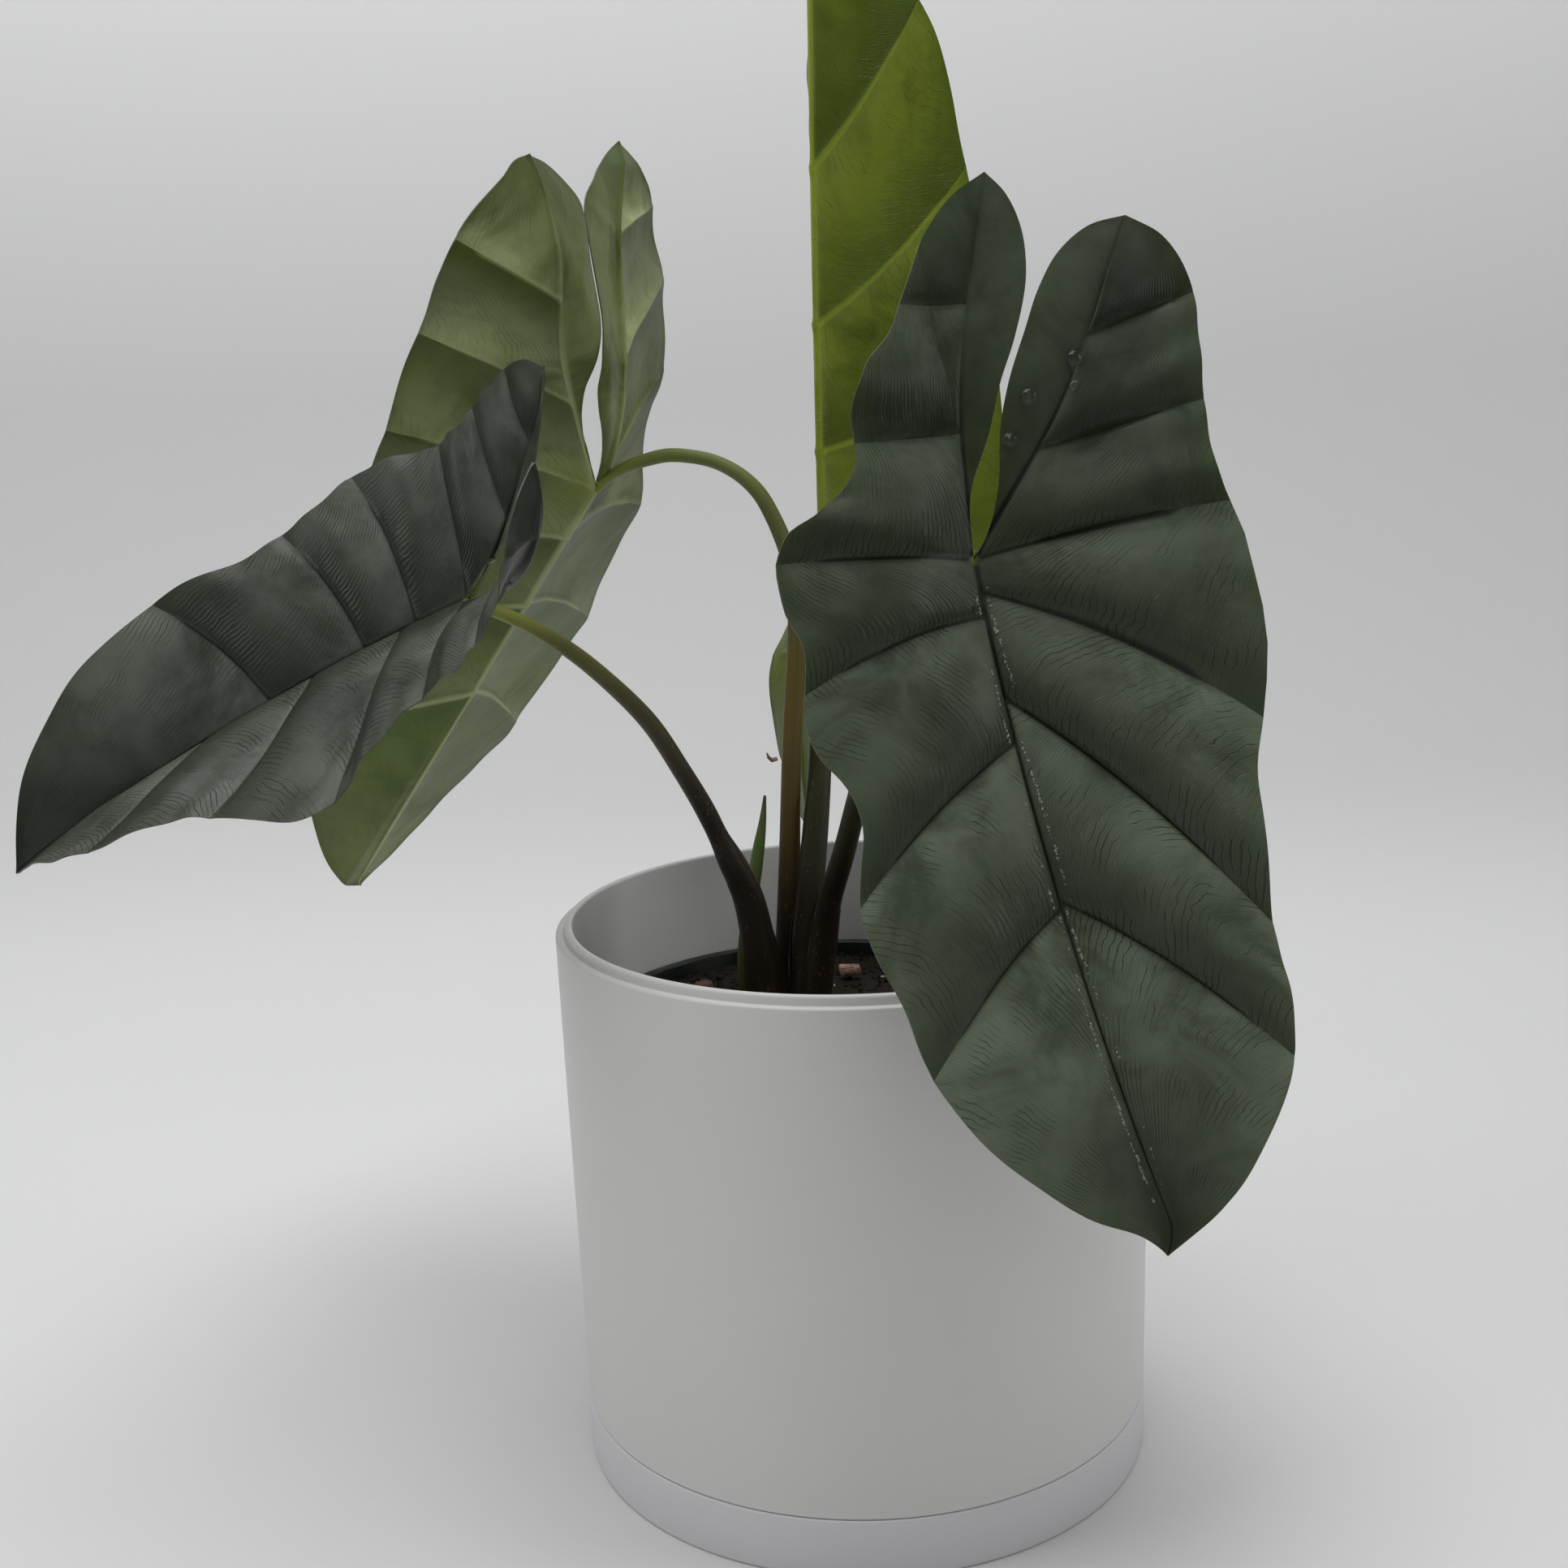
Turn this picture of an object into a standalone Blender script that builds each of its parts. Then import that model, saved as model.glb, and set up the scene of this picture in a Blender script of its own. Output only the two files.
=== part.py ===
"""A potted alocasia: four arrow-shaped leaves on long leaf stems, growing from one crown in a pot of soil.

The soil is in a black nursery pot, and that stands inside a plain white planter on its own saucer.
The frame: the origin is the middle of the saucer's underside, +Z is up, and -Y is the front.
Every length below is in millimetres; MM turns it into metres where a mesh is made.
"""
import math

import bmesh
import bpy
import numpy as np

MM = 0.001
GAP = 0.3                # clearance left between pieces that touch
MERGE = 0.00001          # metres: points closer than this are one point

# ---- Driving dimensions -------------------------------------------------------------------------
TURNED_SIDES = 60        # facets of the big round pieces
PLANTER_RADIUS = 89.0    # at the shoulder, its widest place
PLANTER_BASE_RADIUS = 87.1
SHOULDER_HEIGHT = 164.8
LIP_HEIGHT = 167.3
SEAM_HEIGHT = 18.0       # where the planter's wall meets the saucer's
FOOT_RADIUS = 82.0       # the part of the planter that sits down in the saucer
SAUCER_FLOOR = 3.0
PLANTER_FLOOR = 3.0
NURSERY_CENTRE = (-6.5, 0.0)
NURSERY_TOP_RADIUS = 75.0
NURSERY_BASE_RADIUS = 57.0
NURSERY_WALL = 1.4
NURSERY_TOP = 135.0
SOIL_TOP = 132.0
CROWN_CENTRE = (-20.0, 3.0)
CROWN_RADIUS = 17.0
CROWN_TOP = 134.2
CROWN_DEPTH = 26.0
LEAF_THICKNESS = 1.0
STEM_SIDES = 10
STEM_STEP = 8.0          # distance between a leaf stem's rings

# Heights that follow from those
PLANTER_UNDERSIDE = SAUCER_FLOOR + GAP
PLANTER_FLOOR_TOP = PLANTER_UNDERSIDE + PLANTER_FLOOR
NURSERY_UNDERSIDE = PLANTER_FLOOR_TOP + GAP
NURSERY_FLOOR_TOP = NURSERY_UNDERSIDE + 1.6
NURSERY_RIM_UNDERSIDE = NURSERY_TOP - 6.0
STEM_START = CROWN_TOP + 1.0      # the stems lean, so their lowest rings tilt


# ---- Scene and materials ------------------------------------------------------------------------
def clear_scene():
    """Start from an empty scene."""
    for item in list(bpy.data.objects):
        bpy.data.objects.remove(item, do_unlink=True)


def material(name, colour, roughness, metallic=0.0):
    """A plain Principled material."""
    finish = bpy.data.materials.new(name)
    finish.use_nodes = True
    shader = finish.node_tree.nodes["Principled BSDF"]
    shader.inputs["Base Color"].default_value = (*colour, 1.0)
    shader.inputs["Roughness"].default_value = roughness
    shader.inputs["Metallic"].default_value = metallic
    finish.diffuse_color = (*colour, 1.0)
    return finish


def add_object(name, points, faces, finish, centre=(0.0, 0.0)):
    """One named object from points in millimetres, with coincident points merged."""
    mesh = bpy.data.meshes.new(name)
    mesh.from_pydata([tuple(c * MM for c in p) for p in points], [], faces)
    work = bmesh.new()
    work.from_mesh(mesh)
    bmesh.ops.remove_doubles(work, verts=work.verts, dist=MERGE)
    work.to_mesh(mesh)
    work.free()
    mesh.materials.append(finish)
    mesh.shade_smooth()
    mesh.set_sharp_from_angle(angle=math.radians(35))
    item = bpy.data.objects.new(name, mesh)
    item.location = (centre[0] * MM, centre[1] * MM, 0.0)
    bpy.context.collection.objects.link(item)
    return item


# ---- Shapes -------------------------------------------------------------------------------------
def turned(name, profile, finish, centre=(0.0, 0.0), sides=TURNED_SIDES):
    """A solid of revolution. The profile of (radius, height) starts and ends on the axis and runs
    out along the underside, up the outer wall and back down the inner one."""
    points, faces = [], []
    for k in range(sides):
        angle = 2.0 * math.pi * k / sides
        points += [(r * math.cos(angle), r * math.sin(angle), z) for r, z in profile]
    rows = len(profile)
    for k in range(sides):
        here, after = k * rows, (k + 1) % sides * rows
        for j in range(rows - 1):
            faces.append((here + j, after + j, after + j + 1, here + j + 1))
    return add_object(name, points, faces, finish, centre)


def cut(item, tool):
    """Take the tool's shape out of an object."""
    tool.hide_render = True
    tool.display_type = 'WIRE'
    taken = item.modifiers.new("cut " + tool.name, 'BOOLEAN')
    taken.operation = 'DIFFERENCE'
    taken.object = tool


def ring_of_drills(name, count, ring_radius, hole_radius, low, high, finish, centre=(0.0, 0.0)):
    """Upright round cutters spaced evenly on a circle, as one object."""
    sides = 14
    points, faces = [], []
    for k in range(count):
        middle = 2.0 * math.pi * k / count
        first = len(points)
        for z in (low, high):
            for s in range(sides):
                angle = 2.0 * math.pi * s / sides
                points.append((ring_radius * math.cos(middle) + hole_radius * math.cos(angle),
                               ring_radius * math.sin(middle) + hole_radius * math.sin(angle), z))
        faces.append(tuple(first + s for s in reversed(range(sides))))
        faces.append(tuple(first + sides + s for s in range(sides)))
        for s in range(sides):
            after = (s + 1) % sides
            faces.append((first + s, first + after, first + sides + after, first + sides + s))
    return add_object(name, points, faces, finish, centre)


def smooth_value(stations, values, where):
    """Values between stations on a smooth curve; each station's slope is that of its neighbours."""
    stations, values = np.asarray(stations, float), np.asarray(values, float)
    slopes = np.gradient(values, stations)
    where = np.clip(where, stations[0], stations[-1])
    low = np.clip(np.searchsorted(stations, where) - 1, 0, len(stations) - 2)
    span = stations[low + 1] - stations[low]
    t = (where - stations[low]) / span
    return (values[low] * (1 + 2 * t) * (1 - t) ** 2 + slopes[low] * span * t * (1 - t) ** 2
            + values[low + 1] * t * t * (3 - 2 * t) + slopes[low + 1] * span * t * t * (t - 1))


def smooth_path(points, where):
    """Points on a smooth curve through the given ones; where runs from 0 to 1 along its length."""
    points = np.asarray(points, float)
    place = np.append(0.0, np.cumsum(np.linalg.norm(np.diff(points, axis=0), axis=1)))
    place /= place[-1]
    return np.stack([smooth_value(place, column, where) for column in points.T], axis=-1)


def stem(name, route, finish, sides=STEM_SIDES, step=STEM_STEP):
    """A round tapering stem along a smooth route of (x, y, z, radius)."""
    length = np.linalg.norm(np.diff(np.array(route)[:, :3], axis=0), axis=1).sum()
    rings = max(4, round(length / step))
    along = smooth_path(route, np.linspace(0.0, 1.0, rings + 1))
    centre, radius = along[:, :3], along[:, 3]
    heading = np.gradient(centre, axis=0)
    heading /= np.linalg.norm(heading, axis=1)[:, None]
    side = np.cross(heading[0], (0.0, 1.0, 0.0))
    points = []
    for c, r, h in zip(centre, radius, heading):
        side = side - h * side.dot(h)
        side /= np.linalg.norm(side)
        other = np.cross(h, side)
        for k in range(sides):
            angle = 2.0 * math.pi * k / sides
            points.append(tuple(c + r * (math.cos(angle) * side + math.sin(angle) * other)))
    faces = [tuple(reversed(range(sides))), tuple(rings * sides + k for k in range(sides))]
    for ring in range(rings):
        for k in range(sides):
            a, b = ring * sides + k, ring * sides + (k + 1) % sides
            faces.append((a, b, b + sides, a + sides))
    return add_object(name, points, faces, finish)


# ---- Leaves -------------------------------------------------------------------------------------
# A leaf is drawn flat first. In its own plan u runs across and v runs from the stem's joint, at 0,
# along the midrib to the tip, at +length; the two back lobes reach to -lobe. Then each half is
# folded up about the midrib, and the whole blade is bent along its length.
FOLD_PLACES = (-1.0, -0.5, 0.0, 0.3, 0.6, 1.0)    # lobe tip, mid lobe, joint, ..., leaf tip
MIDRIB_ROUND = 1.5       # how softly the fold turns at the midrib
LOBE_RUNGS, BLADE_RUNGS, OUTER_CELLS, INNER_CELLS = 7, 15, 4, 2


def unit(vector):
    vector = np.asarray(vector, float)
    return vector / np.linalg.norm(vector)


def blade_axes(leaf):
    """The leaf's own directions: across, along to the tip, and out of its upper side."""
    along = unit(leaf["tip_direction"])
    upward = np.asarray(leaf["upper_side"], float)
    upward = unit(upward - along * upward.dot(along))
    return np.cross(upward, along), along, upward


def blade_point(leaf, u, v):
    """Where a point (u, v) of the flat plan lies on the folded and bent blade."""
    size = np.where(v > 0, leaf["length"], leaf["lobe"])
    reach = v / size
    bend = np.radians(np.where(v > 0, leaf["tip_bend"], leaf["lobe_bend"]))
    turn = bend * np.abs(reach)
    radius = size / bend
    backward = np.clip(-reach, 0.0, None)
    midrib = leaf["sweep"] * np.clip(reach, 0.0, None) ** 2 + leaf["lobe_sweep"] * backward ** 1.5
    off = u - midrib
    fold = np.radians(np.where(off > 0, smooth_value(FOLD_PLACES, leaf["fold_right"], reach),
                               smooth_value(FOLD_PLACES, leaf["fold_left"], reach)))
    soft = MIDRIB_ROUND + 0.2 * leaf["lobe_sweep"] * backward
    rise = np.sqrt(off ** 2 + soft ** 2) - soft
    lift = rise * np.sin(fold) - leaf["arch"] * (3.0 * off / leaf["length"]) ** 2
    x = midrib + off * np.cos(fold)
    y = np.sign(v) * np.sin(turn) * (radius + lift)
    z = (np.cos(turn) - 1.0) * radius + lift * np.cos(turn)
    across, along, upward = blade_axes(leaf)
    return np.asarray(leaf["joint"]) + np.outer(x, across) + np.outer(y, along) + np.outer(z, upward)


def vein_map(leaf, side):
    """Matching stations along the midrib and along one margin, taken from the side veins."""
    outline = leaf["outer_" + side]
    part = np.linspace(0.0, 1.0, 400)
    edge_v = smooth_path(outline, part)[:, 1]
    knots = [outline[0][1]] + [v for v, _ in leaf["veins_" + side]] + [outline[-1][1]]
    ends = [0.0] + [np.interp(v, edge_v, part) for _, v in leaf["veins_" + side]] + [1.0]
    return knots, ends, np.interp(0.0, knots, ends)


def midrib_stations(leaf):
    """Stations on the midrib whose rungs reach the two margins about evenly."""
    both = []
    for side in ("right", "left"):
        knots, ends, joint_end = vein_map(leaf, side)
        both.append(np.interp(np.linspace(joint_end, 1.0, BLADE_RUNGS + 1)[1:], ends, knots))
    return np.mean(both, axis=0)


def rungs_of(leaf, side, stations):
    """Matching plan points on the leaf's ribs and margins, from the lobe's tip to the leaf's tip.
    The outer rungs run as the side veins do."""
    outline = leaf["outer_" + side]
    knots, ends, joint_end = vein_map(leaf, side)
    lobe_share = np.linspace(0.0, 1.0, LOBE_RUNGS + 1)
    lobe = smooth_path([outline[0], leaf["lobe_rib_" + side], (0.0, 0.0)], lobe_share)
    spread = outline[-1][0] * (stations / outline[-1][1]) ** 2
    spine = np.vstack([lobe, np.stack([spread, stations], axis=-1)])
    outer = smooth_path(outline, np.append(lobe_share * joint_end, np.interp(stations, knots, ends)))
    inner = smooth_path(leaf["inner_" + side], lobe_share)
    return spine, outer, lobe, inner


def leaf_blade(name, leaf, finish):
    """One leaf: a sheet meshed along its veins, given its thickness."""
    points, faces = [], []
    stations = midrib_stations(leaf)
    for side, turn in (("right", 1), ("left", -1)):
        spine, outer, lobe, inner = rungs_of(leaf, side, stations)
        for rib, edge, cells, way in ((spine, outer, OUTER_CELLS, turn), (lobe, inner, INNER_CELLS, -turn)):
            first = len(points)
            share = np.linspace(0.0, 1.0, cells + 1)[None, :, None]
            grid = rib[:, None, :] * (1.0 - share) + edge[:, None, :] * share
            flat = grid.reshape(-1, 2)
            points += [tuple(p) for p in blade_point(leaf, flat[:, 0], flat[:, 1])]
            for i in range(len(rib) - 1):
                for j in range(cells):
                    a = first + i * (cells + 1) + j
                    loop = (a, a + 1, a + cells + 2, a + cells + 1)
                    faces.append(loop if way > 0 else loop[::-1])
    item = add_object(name, points, faces, finish)
    thick = item.modifiers.new("thickness", 'SOLIDIFY')
    thick.thickness = LEAF_THICKNESS * MM
    thick.offset = 0.0
    return item


LEAVES = {
    "leaf_left": {
        "joint": (-102, -40, 268), "tip_direction": (-0.920, 0.113, -0.375),
        "upper_side": (-0.376, -0.517, 0.769),
        "length": 141, "lobe": 72, "tip_bend": -3, "lobe_bend": -59, "sweep": 38, "lobe_sweep": 0, "arch": 6,
        "fold_left": (36, 41, 41, 42, 50, 57), "fold_right": (41, 30, 20, 3, 14, 28),
        "outer_left": [(-30, -70), (-40, -66), (-48, -56), (-51, -43), (-51, -24), (-50, -4), (-53, 11),
                       (-52, 24), (-44, 42), (-38, 58), (-36, 78), (-28, 93), (-18, 108), (-5, 119),
                       (10, 129), (24, 135), (36, 139)],
        "outer_right": [(32, -72), (43, -64), (51, -55), (55, -45), (58, -30), (56, -12), (48, 5), (45, 18),
                        (50, 30), (56, 40), (57, 50), (55, 62), (51, 72), (50, 84), (52, 98), (52, 112),
                        (46, 127), (36, 139)],
        "inner_left": [(-30, -70), (-26, -58), (-20, -44), (-13, -24), (-5, -7), (0, 0)],
        "inner_right": [(32, -72), (29, -62), (24, -47), (15, -27), (6, -9), (0, 0)],
        "lobe_rib_left": (-21, -34), "lobe_rib_right": (26, -36),
        "veins_left": [(0, -8), (16, 22), (32, 46), (62, 84)],
        "veins_right": [(0, 8), (20, 40), (48, 74), (82, 108)],
    },
    "leaf_back": {
        "joint": (-75, 34, 294), "tip_direction": (-0.495, 0.577, -0.649),
        "upper_side": (-0.493, 0.429, 0.757),
        "length": 206, "lobe": 104, "tip_bend": 8, "lobe_bend": -45, "sweep": 25, "lobe_sweep": 53, "arch": 4,
        "fold_left": (37, 44, 38, 24, 17, 10), "fold_right": (-9, 38, 26, 33, 36, 40),
        "outer_left": [(-45, -114), (-54, -104), (-65, -88), (-70, -66), (-73, -47), (-69, -28), (-62, -9),
                       (-58, 4), (-58, 15), (-62, 30), (-66, 44), (-64, 58), (-58, 80), (-56, 105),
                       (-50, 122), (-40, 139), (-36, 154), (-25, 168), (-10, 182), (2, 198), (12, 209),
                       (21, 215)],
        "outer_right": [(35, -106.5), (46, -104.5), (54, -99), (61, -93), (66, -86), (68.5, -74),
                        (70, -54), (71, -36), (70.5, -18), (69.5, 0), (68, 20), (67, 50), (64, 80),
                        (60, 110), (56, 140), (51, 164), (44, 184), (35, 201), (21, 215)],
        "inner_left": [(-45, -114), (-25, -106), (-11, -99), (1, -91), (4.5, -80), (6, -68), (8.5, -58),
                       (13, -51), (15, -42), (12, -33), (7, -23), (2.8, -12), (1, -5), (0, 0)],
        "inner_right": [(35, -106.5), (24, -104), (13, -98.5), (5, -91), (6.5, -80), (8, -68), (11, -58),
                        (16, -51), (18.5, -41), (17, -32), (12, -20), (5.5, -9), (1.6, -3.5), (0, 0)],
        "lobe_rib_left": (-14, -56), "lobe_rib_right": (31, -58),
        "veins_left": [(0, -8), (24, 50), (58, 100), (104, 148)],
        "veins_right": [(0, -8), (24, 50), (58, 100), (104, 148)],
    },
    "leaf_upright": {
        "joint": (-5, 42, 273.5), "tip_direction": (0.0, 0.03, 1.0), "upper_side": (0.57, 0.82, 0.0),
        "length": 206, "lobe": 100, "tip_bend": 2, "lobe_bend": -2, "sweep": 5, "lobe_sweep": 0, "arch": 2,
        "fold_left": (38, 36, 55, 57, 56, 52), "fold_right": (45, 45, 50, 52, 52, 50),
        "outer_left": [(-27, -99), (-40, -92), (-51, -78), (-58, -58), (-62, -30), (-63, 0), (-62, 30),
                       (-60, 60), (-56, 90), (-50, 118), (-41, 145), (-29, 170), (-15, 190), (5, 206)],
        "outer_right": [(25, -100), (38, -94), (50, -80), (58, -58), (62, -30), (63, 0), (62, 30), (60, 60),
                        (57, 86), (52, 110), (50, 120), (47, 136), (42, 152), (36, 162), (26, 177),
                        (16, 192), (5, 206)],
        "inner_left": [(-27, -99), (-18, -90), (-13, -76), (-11, -56), (-8, -34), (-4, -13), (0, 0)],
        "inner_right": [(25, -100), (14, -93), (8, -80), (8, -60), (6, -35), (3, -12), (0, 0)],
        "lobe_rib_left": (-26, -48), "lobe_rib_right": (24, -48),
        "veins_left": [(0, -6), (28, 56), (66, 108), (112, 156)],
        "veins_right": [(0, -6), (28, 56), (66, 112), (112, 160)],
    },
    "leaf_front": {
        "joint": (32, -95, 278.7), "tip_direction": (0.17, -0.25, -1.0), "upper_side": (0.20, -0.95, 0.25),
        "length": 172, "lobe": 92, "tip_bend": 6, "lobe_bend": -15, "sweep": 18, "lobe_sweep": 0, "arch": 2,
        "fold_left": (30, 26, 20, 14, 14, 14), "fold_right": (14, 15, 16, 16, 16, 16),
        "outer_left": [(17, -90), (9, -86), (1, -78), (-7, -67), (-14, -56), (-24, -48), (-29, -39),
                       (-29, -28), (-33, -21), (-43, -15), (-52, -10), (-55, -3), (-54, 6), (-51, 15),
                       (-51, 24), (-53, 32), (-51, 39), (-45, 48), (-43, 58), (-45, 68), (-47, 79),
                       (-43, 95), (-36, 120), (-29, 133), (-17, 147), (-4, 159), (10, 167), (20, 173)],
        "outer_right": [(49, -75), (57, -69), (62, -58), (62, -40), (61, -26), (61, -12), (64, 3), (65, 20),
                        (64, 36), (61, 48), (57, 60), (56, 72), (55, 86), (54, 100), (55, 114), (54, 128),
                        (48, 143), (39, 156), (30, 165), (20, 173)],
        "inner_left": [(17, -90), (21, -85), (24, -76), (24, -67), (19, -51), (13.5, -40), (9.5, -30),
                       (2, -15), (0, 0)],
        "inner_right": [(49, -75), (40, -74), (32, -69), (26, -61), (21.5, -52), (16, -41), (12, -30),
                        (9, -16), (4, -5), (0, 0)],
        "lobe_rib_left": (4, -40), "lobe_rib_right": (27, -33),
        "veins_left": [(0, -4), (14, 26), (45, 76), (86, 118)],
        "veins_right": [(0, -2), (8, 50), (34, 98), (84, 130)],
    },
}

# ---- Leaf stems: (x, y, z, radius), from the crown to just under the leaf --------------------------
STEMS = {
    "stem_left": [(-25.5, -2, STEM_START, 5.6), (-26.4, -2.2, 146, 5.4), (-28.1, -3, 158, 5.0),
                  (-31.1, -4, 173.5, 4.5), (-35.8, -5.4, 185, 3.9), (-38.4, -6.2, 191, 3.1),
                  (-41.9, -8, 199.7, 3.0), (-48.2, -11, 212.7, 2.8), (-56.6, -15, 228.1, 2.7),
                  (-67, -20, 241, 2.5), (-77.2, -26, 251.5, 2.3), (-87.1, -32, 259.4, 2.0),
                  (-95.6, -36.5, 264.3, 1.8), (-98.8, -38, 265.8, 1.5)],
    "stem_back": [(-21.0, 11.5, STEM_START, 4.2), (-19.8, 11.2, 153.5, 3.9), (-18.8, 11, 171.7, 3.5),
                  (-18, 11.5, 187.7, 3.2), (-16.5, 13, 214.4, 3.0), (-15.2, 14.5, 231.9, 2.9),
                  (-14.1, 15.5, 244.8, 2.8), (-13.8, 16.6, 257.2, 2.7), (-15.2, 18.2, 270.5, 2.6),
                  (-17.5, 19, 277.6, 2.5), (-20, 20.2, 283.6, 2.4), (-24.2, 21.6, 291, 2.3),
                  (-29.6, 23, 296.2, 2.2), (-37.7, 24.8, 300.5, 2.1), (-44.7, 25.8, 302.1, 2.1),
                  (-50.9, 26.6, 302.6, 2.1), (-58, 27.5, 301.4, 2.0), (-64.7, 29, 299.3, 1.8),
                  (-70.3, 31.2, 296.3, 1.5)],
    "stem_upright": [(-15.8, 0.6, STEM_START, 4.5), (-14.3, 2, 156, 4.2), (-12.3, 4, 171, 4.1),
                     (-10.4, 8, 187, 4.0), (-8.4, 14, 206, 3.6), (-7, 22, 230, 3.1), (-6, 31, 252, 2.6),
                     (-5.4, 38.6, 269.6, 1.9)],
    "stem_front": [(-11.6, -7.6, STEM_START, 4.0), (-10.4, -7.8, 147, 3.9), (-8.4, -9, 159, 3.8),
                   (-6.3, -12, 172.5, 3.6), (-2.3, -17, 186, 3.3), (2.4, -25, 204.5, 3.1),
                   (8, -38, 228, 2.9), (15, -55, 251, 2.6), (23, -73, 267.5, 2.2), (30, -89.5, 276.8, 1.7)],
    "new_shoot": [(-33.6, 5.6, STEM_START, 2.3), (-32.9, 7, 155, 2.1), (-30.1, 8, 170, 2.0),
                  (-27.9, 9, 182.7, 1.9), (-26.1, 10, 192.6, 1.1), (-25.2, 10.8, 200, 0.4)],
    "dry_bract": [(-21.3, 11, 211.2, 0.7), (-22.4, 10, 211.0, 0.7), (-23.6, 9, 212.2, 0.5),
                  (-24.0, 8.4, 213.6, 0.2)],
}

# ---- Bark and perlite lying on the soil: (x, y, length, width, height, turn in degrees) -------------
CHIPS = [
    (-1, 41, 8, 5, 4, 20), (-14, 50, 6, 4, 3, 80), (14, 46, 7, 5, 3, 140), (-48, 28, 9, 6, 4, 35),
    (34, 22, 8, 5, 4, 100), (-44, -26, 7, 6, 3, 60), (16, -36, 9, 6, 4, 10), (44, -6, 6, 5, 3, 50),
]


def soil_height(x, y):
    """The soil's top, a shallow mound in the nursery pot."""
    out = math.hypot(x - NURSERY_CENTRE[0], y - NURSERY_CENTRE[1])
    return SOIL_TOP + 0.5 - 1.5 * (out / NURSERY_TOP_RADIUS) ** 2


def chip(name, place, finish):
    """A rough flattened lump, resting just clear of the soil."""
    x, y, length, width, height, turn = place
    work = bmesh.new()
    bmesh.ops.create_icosphere(work, subdivisions=1, radius=0.5)
    angle = math.radians(turn)
    points = []
    for k, corner in enumerate(work.verts):
        rough = 1.0 + 0.16 * math.sin(7.1 * k + turn)
        a, b = corner.co.x * length * rough, corner.co.y * width * rough
        points.append((x + a * math.cos(angle) - b * math.sin(angle),
                       y + a * math.sin(angle) + b * math.cos(angle), corner.co.z * height))
    faces = [tuple(corner.index for corner in face.verts) for face in work.faces]
    work.free()
    lift = max(soil_height(p[0], p[1]) - p[2] for p in points) + GAP
    return add_object(name, [(p[0], p[1], p[2] + lift) for p in points], faces, finish)


# ---- The pots -----------------------------------------------------------------------------------
def make_saucer(finish):
    inner = FOOT_RADIUS + 0.8
    top = SEAM_HEIGHT - GAP
    turned("saucer", [(0, 0), (PLANTER_BASE_RADIUS - 1.0, 0), (PLANTER_BASE_RADIUS, 1.0),
                      (PLANTER_BASE_RADIUS + 0.2, top - 0.5), (PLANTER_BASE_RADIUS - 0.3, top),
                      (inner + 0.5, top), (inner, top - 0.5), (inner - 0.4, SAUCER_FLOOR + 1.0),
                      (inner - 1.4, SAUCER_FLOOR), (0, SAUCER_FLOOR)], finish)


def make_planter(finish):
    low = PLANTER_UNDERSIDE
    wall_low = PLANTER_BASE_RADIUS + 0.2
    shoulder = [(PLANTER_RADIUS - 1.5 + 1.5 * math.sin(a), SHOULDER_HEIGHT - 1.5 + 1.5 * math.cos(a))
                for a in np.radians((90, 60, 30, 0))]
    lip_middle, lip_round = PLANTER_RADIUS - 4.0, 1.0
    lip = [(lip_middle + lip_round * math.cos(a), LIP_HEIGHT - lip_round + lip_round * math.sin(a))
           for a in np.radians((0, 45, 90, 135, 180))]
    planter = turned("planter", [
        (0, low), (FOOT_RADIUS - 2.0, low), (FOOT_RADIUS - 0.6, low + 1.0), (FOOT_RADIUS, SEAM_HEIGHT),
        (wall_low - 0.6, SEAM_HEIGHT), (wall_low, SEAM_HEIGHT + 0.6), *shoulder,
        (PLANTER_RADIUS - 2.5, SHOULDER_HEIGHT - 0.3), *lip, (lip_middle - 1.1, SHOULDER_HEIGHT - 5.0),
        (FOOT_RADIUS - 2.4, PLANTER_FLOOR_TOP + 3.0), (FOOT_RADIUS - 5.0, PLANTER_FLOOR_TOP),
        (0, PLANTER_FLOOR_TOP)], finish)
    cut(planter, ring_of_drills("planter drain cutters", 5, 45.0, 5.0, low - 2.0,
                                PLANTER_FLOOR_TOP + 2.0, finish))


def make_nursery_pot(finish):
    low, top, rim = NURSERY_UNDERSIDE, NURSERY_TOP, NURSERY_TOP_RADIUS
    body = rim - 2.0
    inner = body - NURSERY_WALL
    pot = turned("nursery_pot", [
        (0, low), (NURSERY_BASE_RADIUS, low), (body, NURSERY_RIM_UNDERSIDE),
        (rim, NURSERY_RIM_UNDERSIDE + 0.6), (rim, top - 0.6), (rim - 0.6, top), (inner + 0.6, top),
        (inner, top - 0.6), (inner, NURSERY_RIM_UNDERSIDE),
        (NURSERY_BASE_RADIUS - NURSERY_WALL, NURSERY_FLOOR_TOP), (0, NURSERY_FLOOR_TOP)],
        finish, NURSERY_CENTRE)
    cut(pot, ring_of_drills("nursery drain cutters", 8, 44.0, 4.0, low - 2.0, NURSERY_FLOOR_TOP + 2.0,
                            finish, NURSERY_CENTRE))


def make_soil(finish):
    inner = NURSERY_TOP_RADIUS - 2.0 - NURSERY_WALL - GAP - 0.1
    bottom = NURSERY_BASE_RADIUS - NURSERY_WALL - GAP - 0.1
    rings = (inner, inner * 0.75, inner * 0.5, inner * 0.25, 0.0)
    mound = [(r, SOIL_TOP + 0.5 - 1.5 * (r / NURSERY_TOP_RADIUS) ** 2) for r in rings]
    soil = turned("soil", [(0, NURSERY_FLOOR_TOP + GAP), (bottom, NURSERY_FLOOR_TOP + GAP),
                           (inner, NURSERY_RIM_UNDERSIDE), *mound], finish, NURSERY_CENTRE)
    cut(soil, crown_shape("crown cutter", GAP, CROWN_TOP + 10.0, finish))


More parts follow.
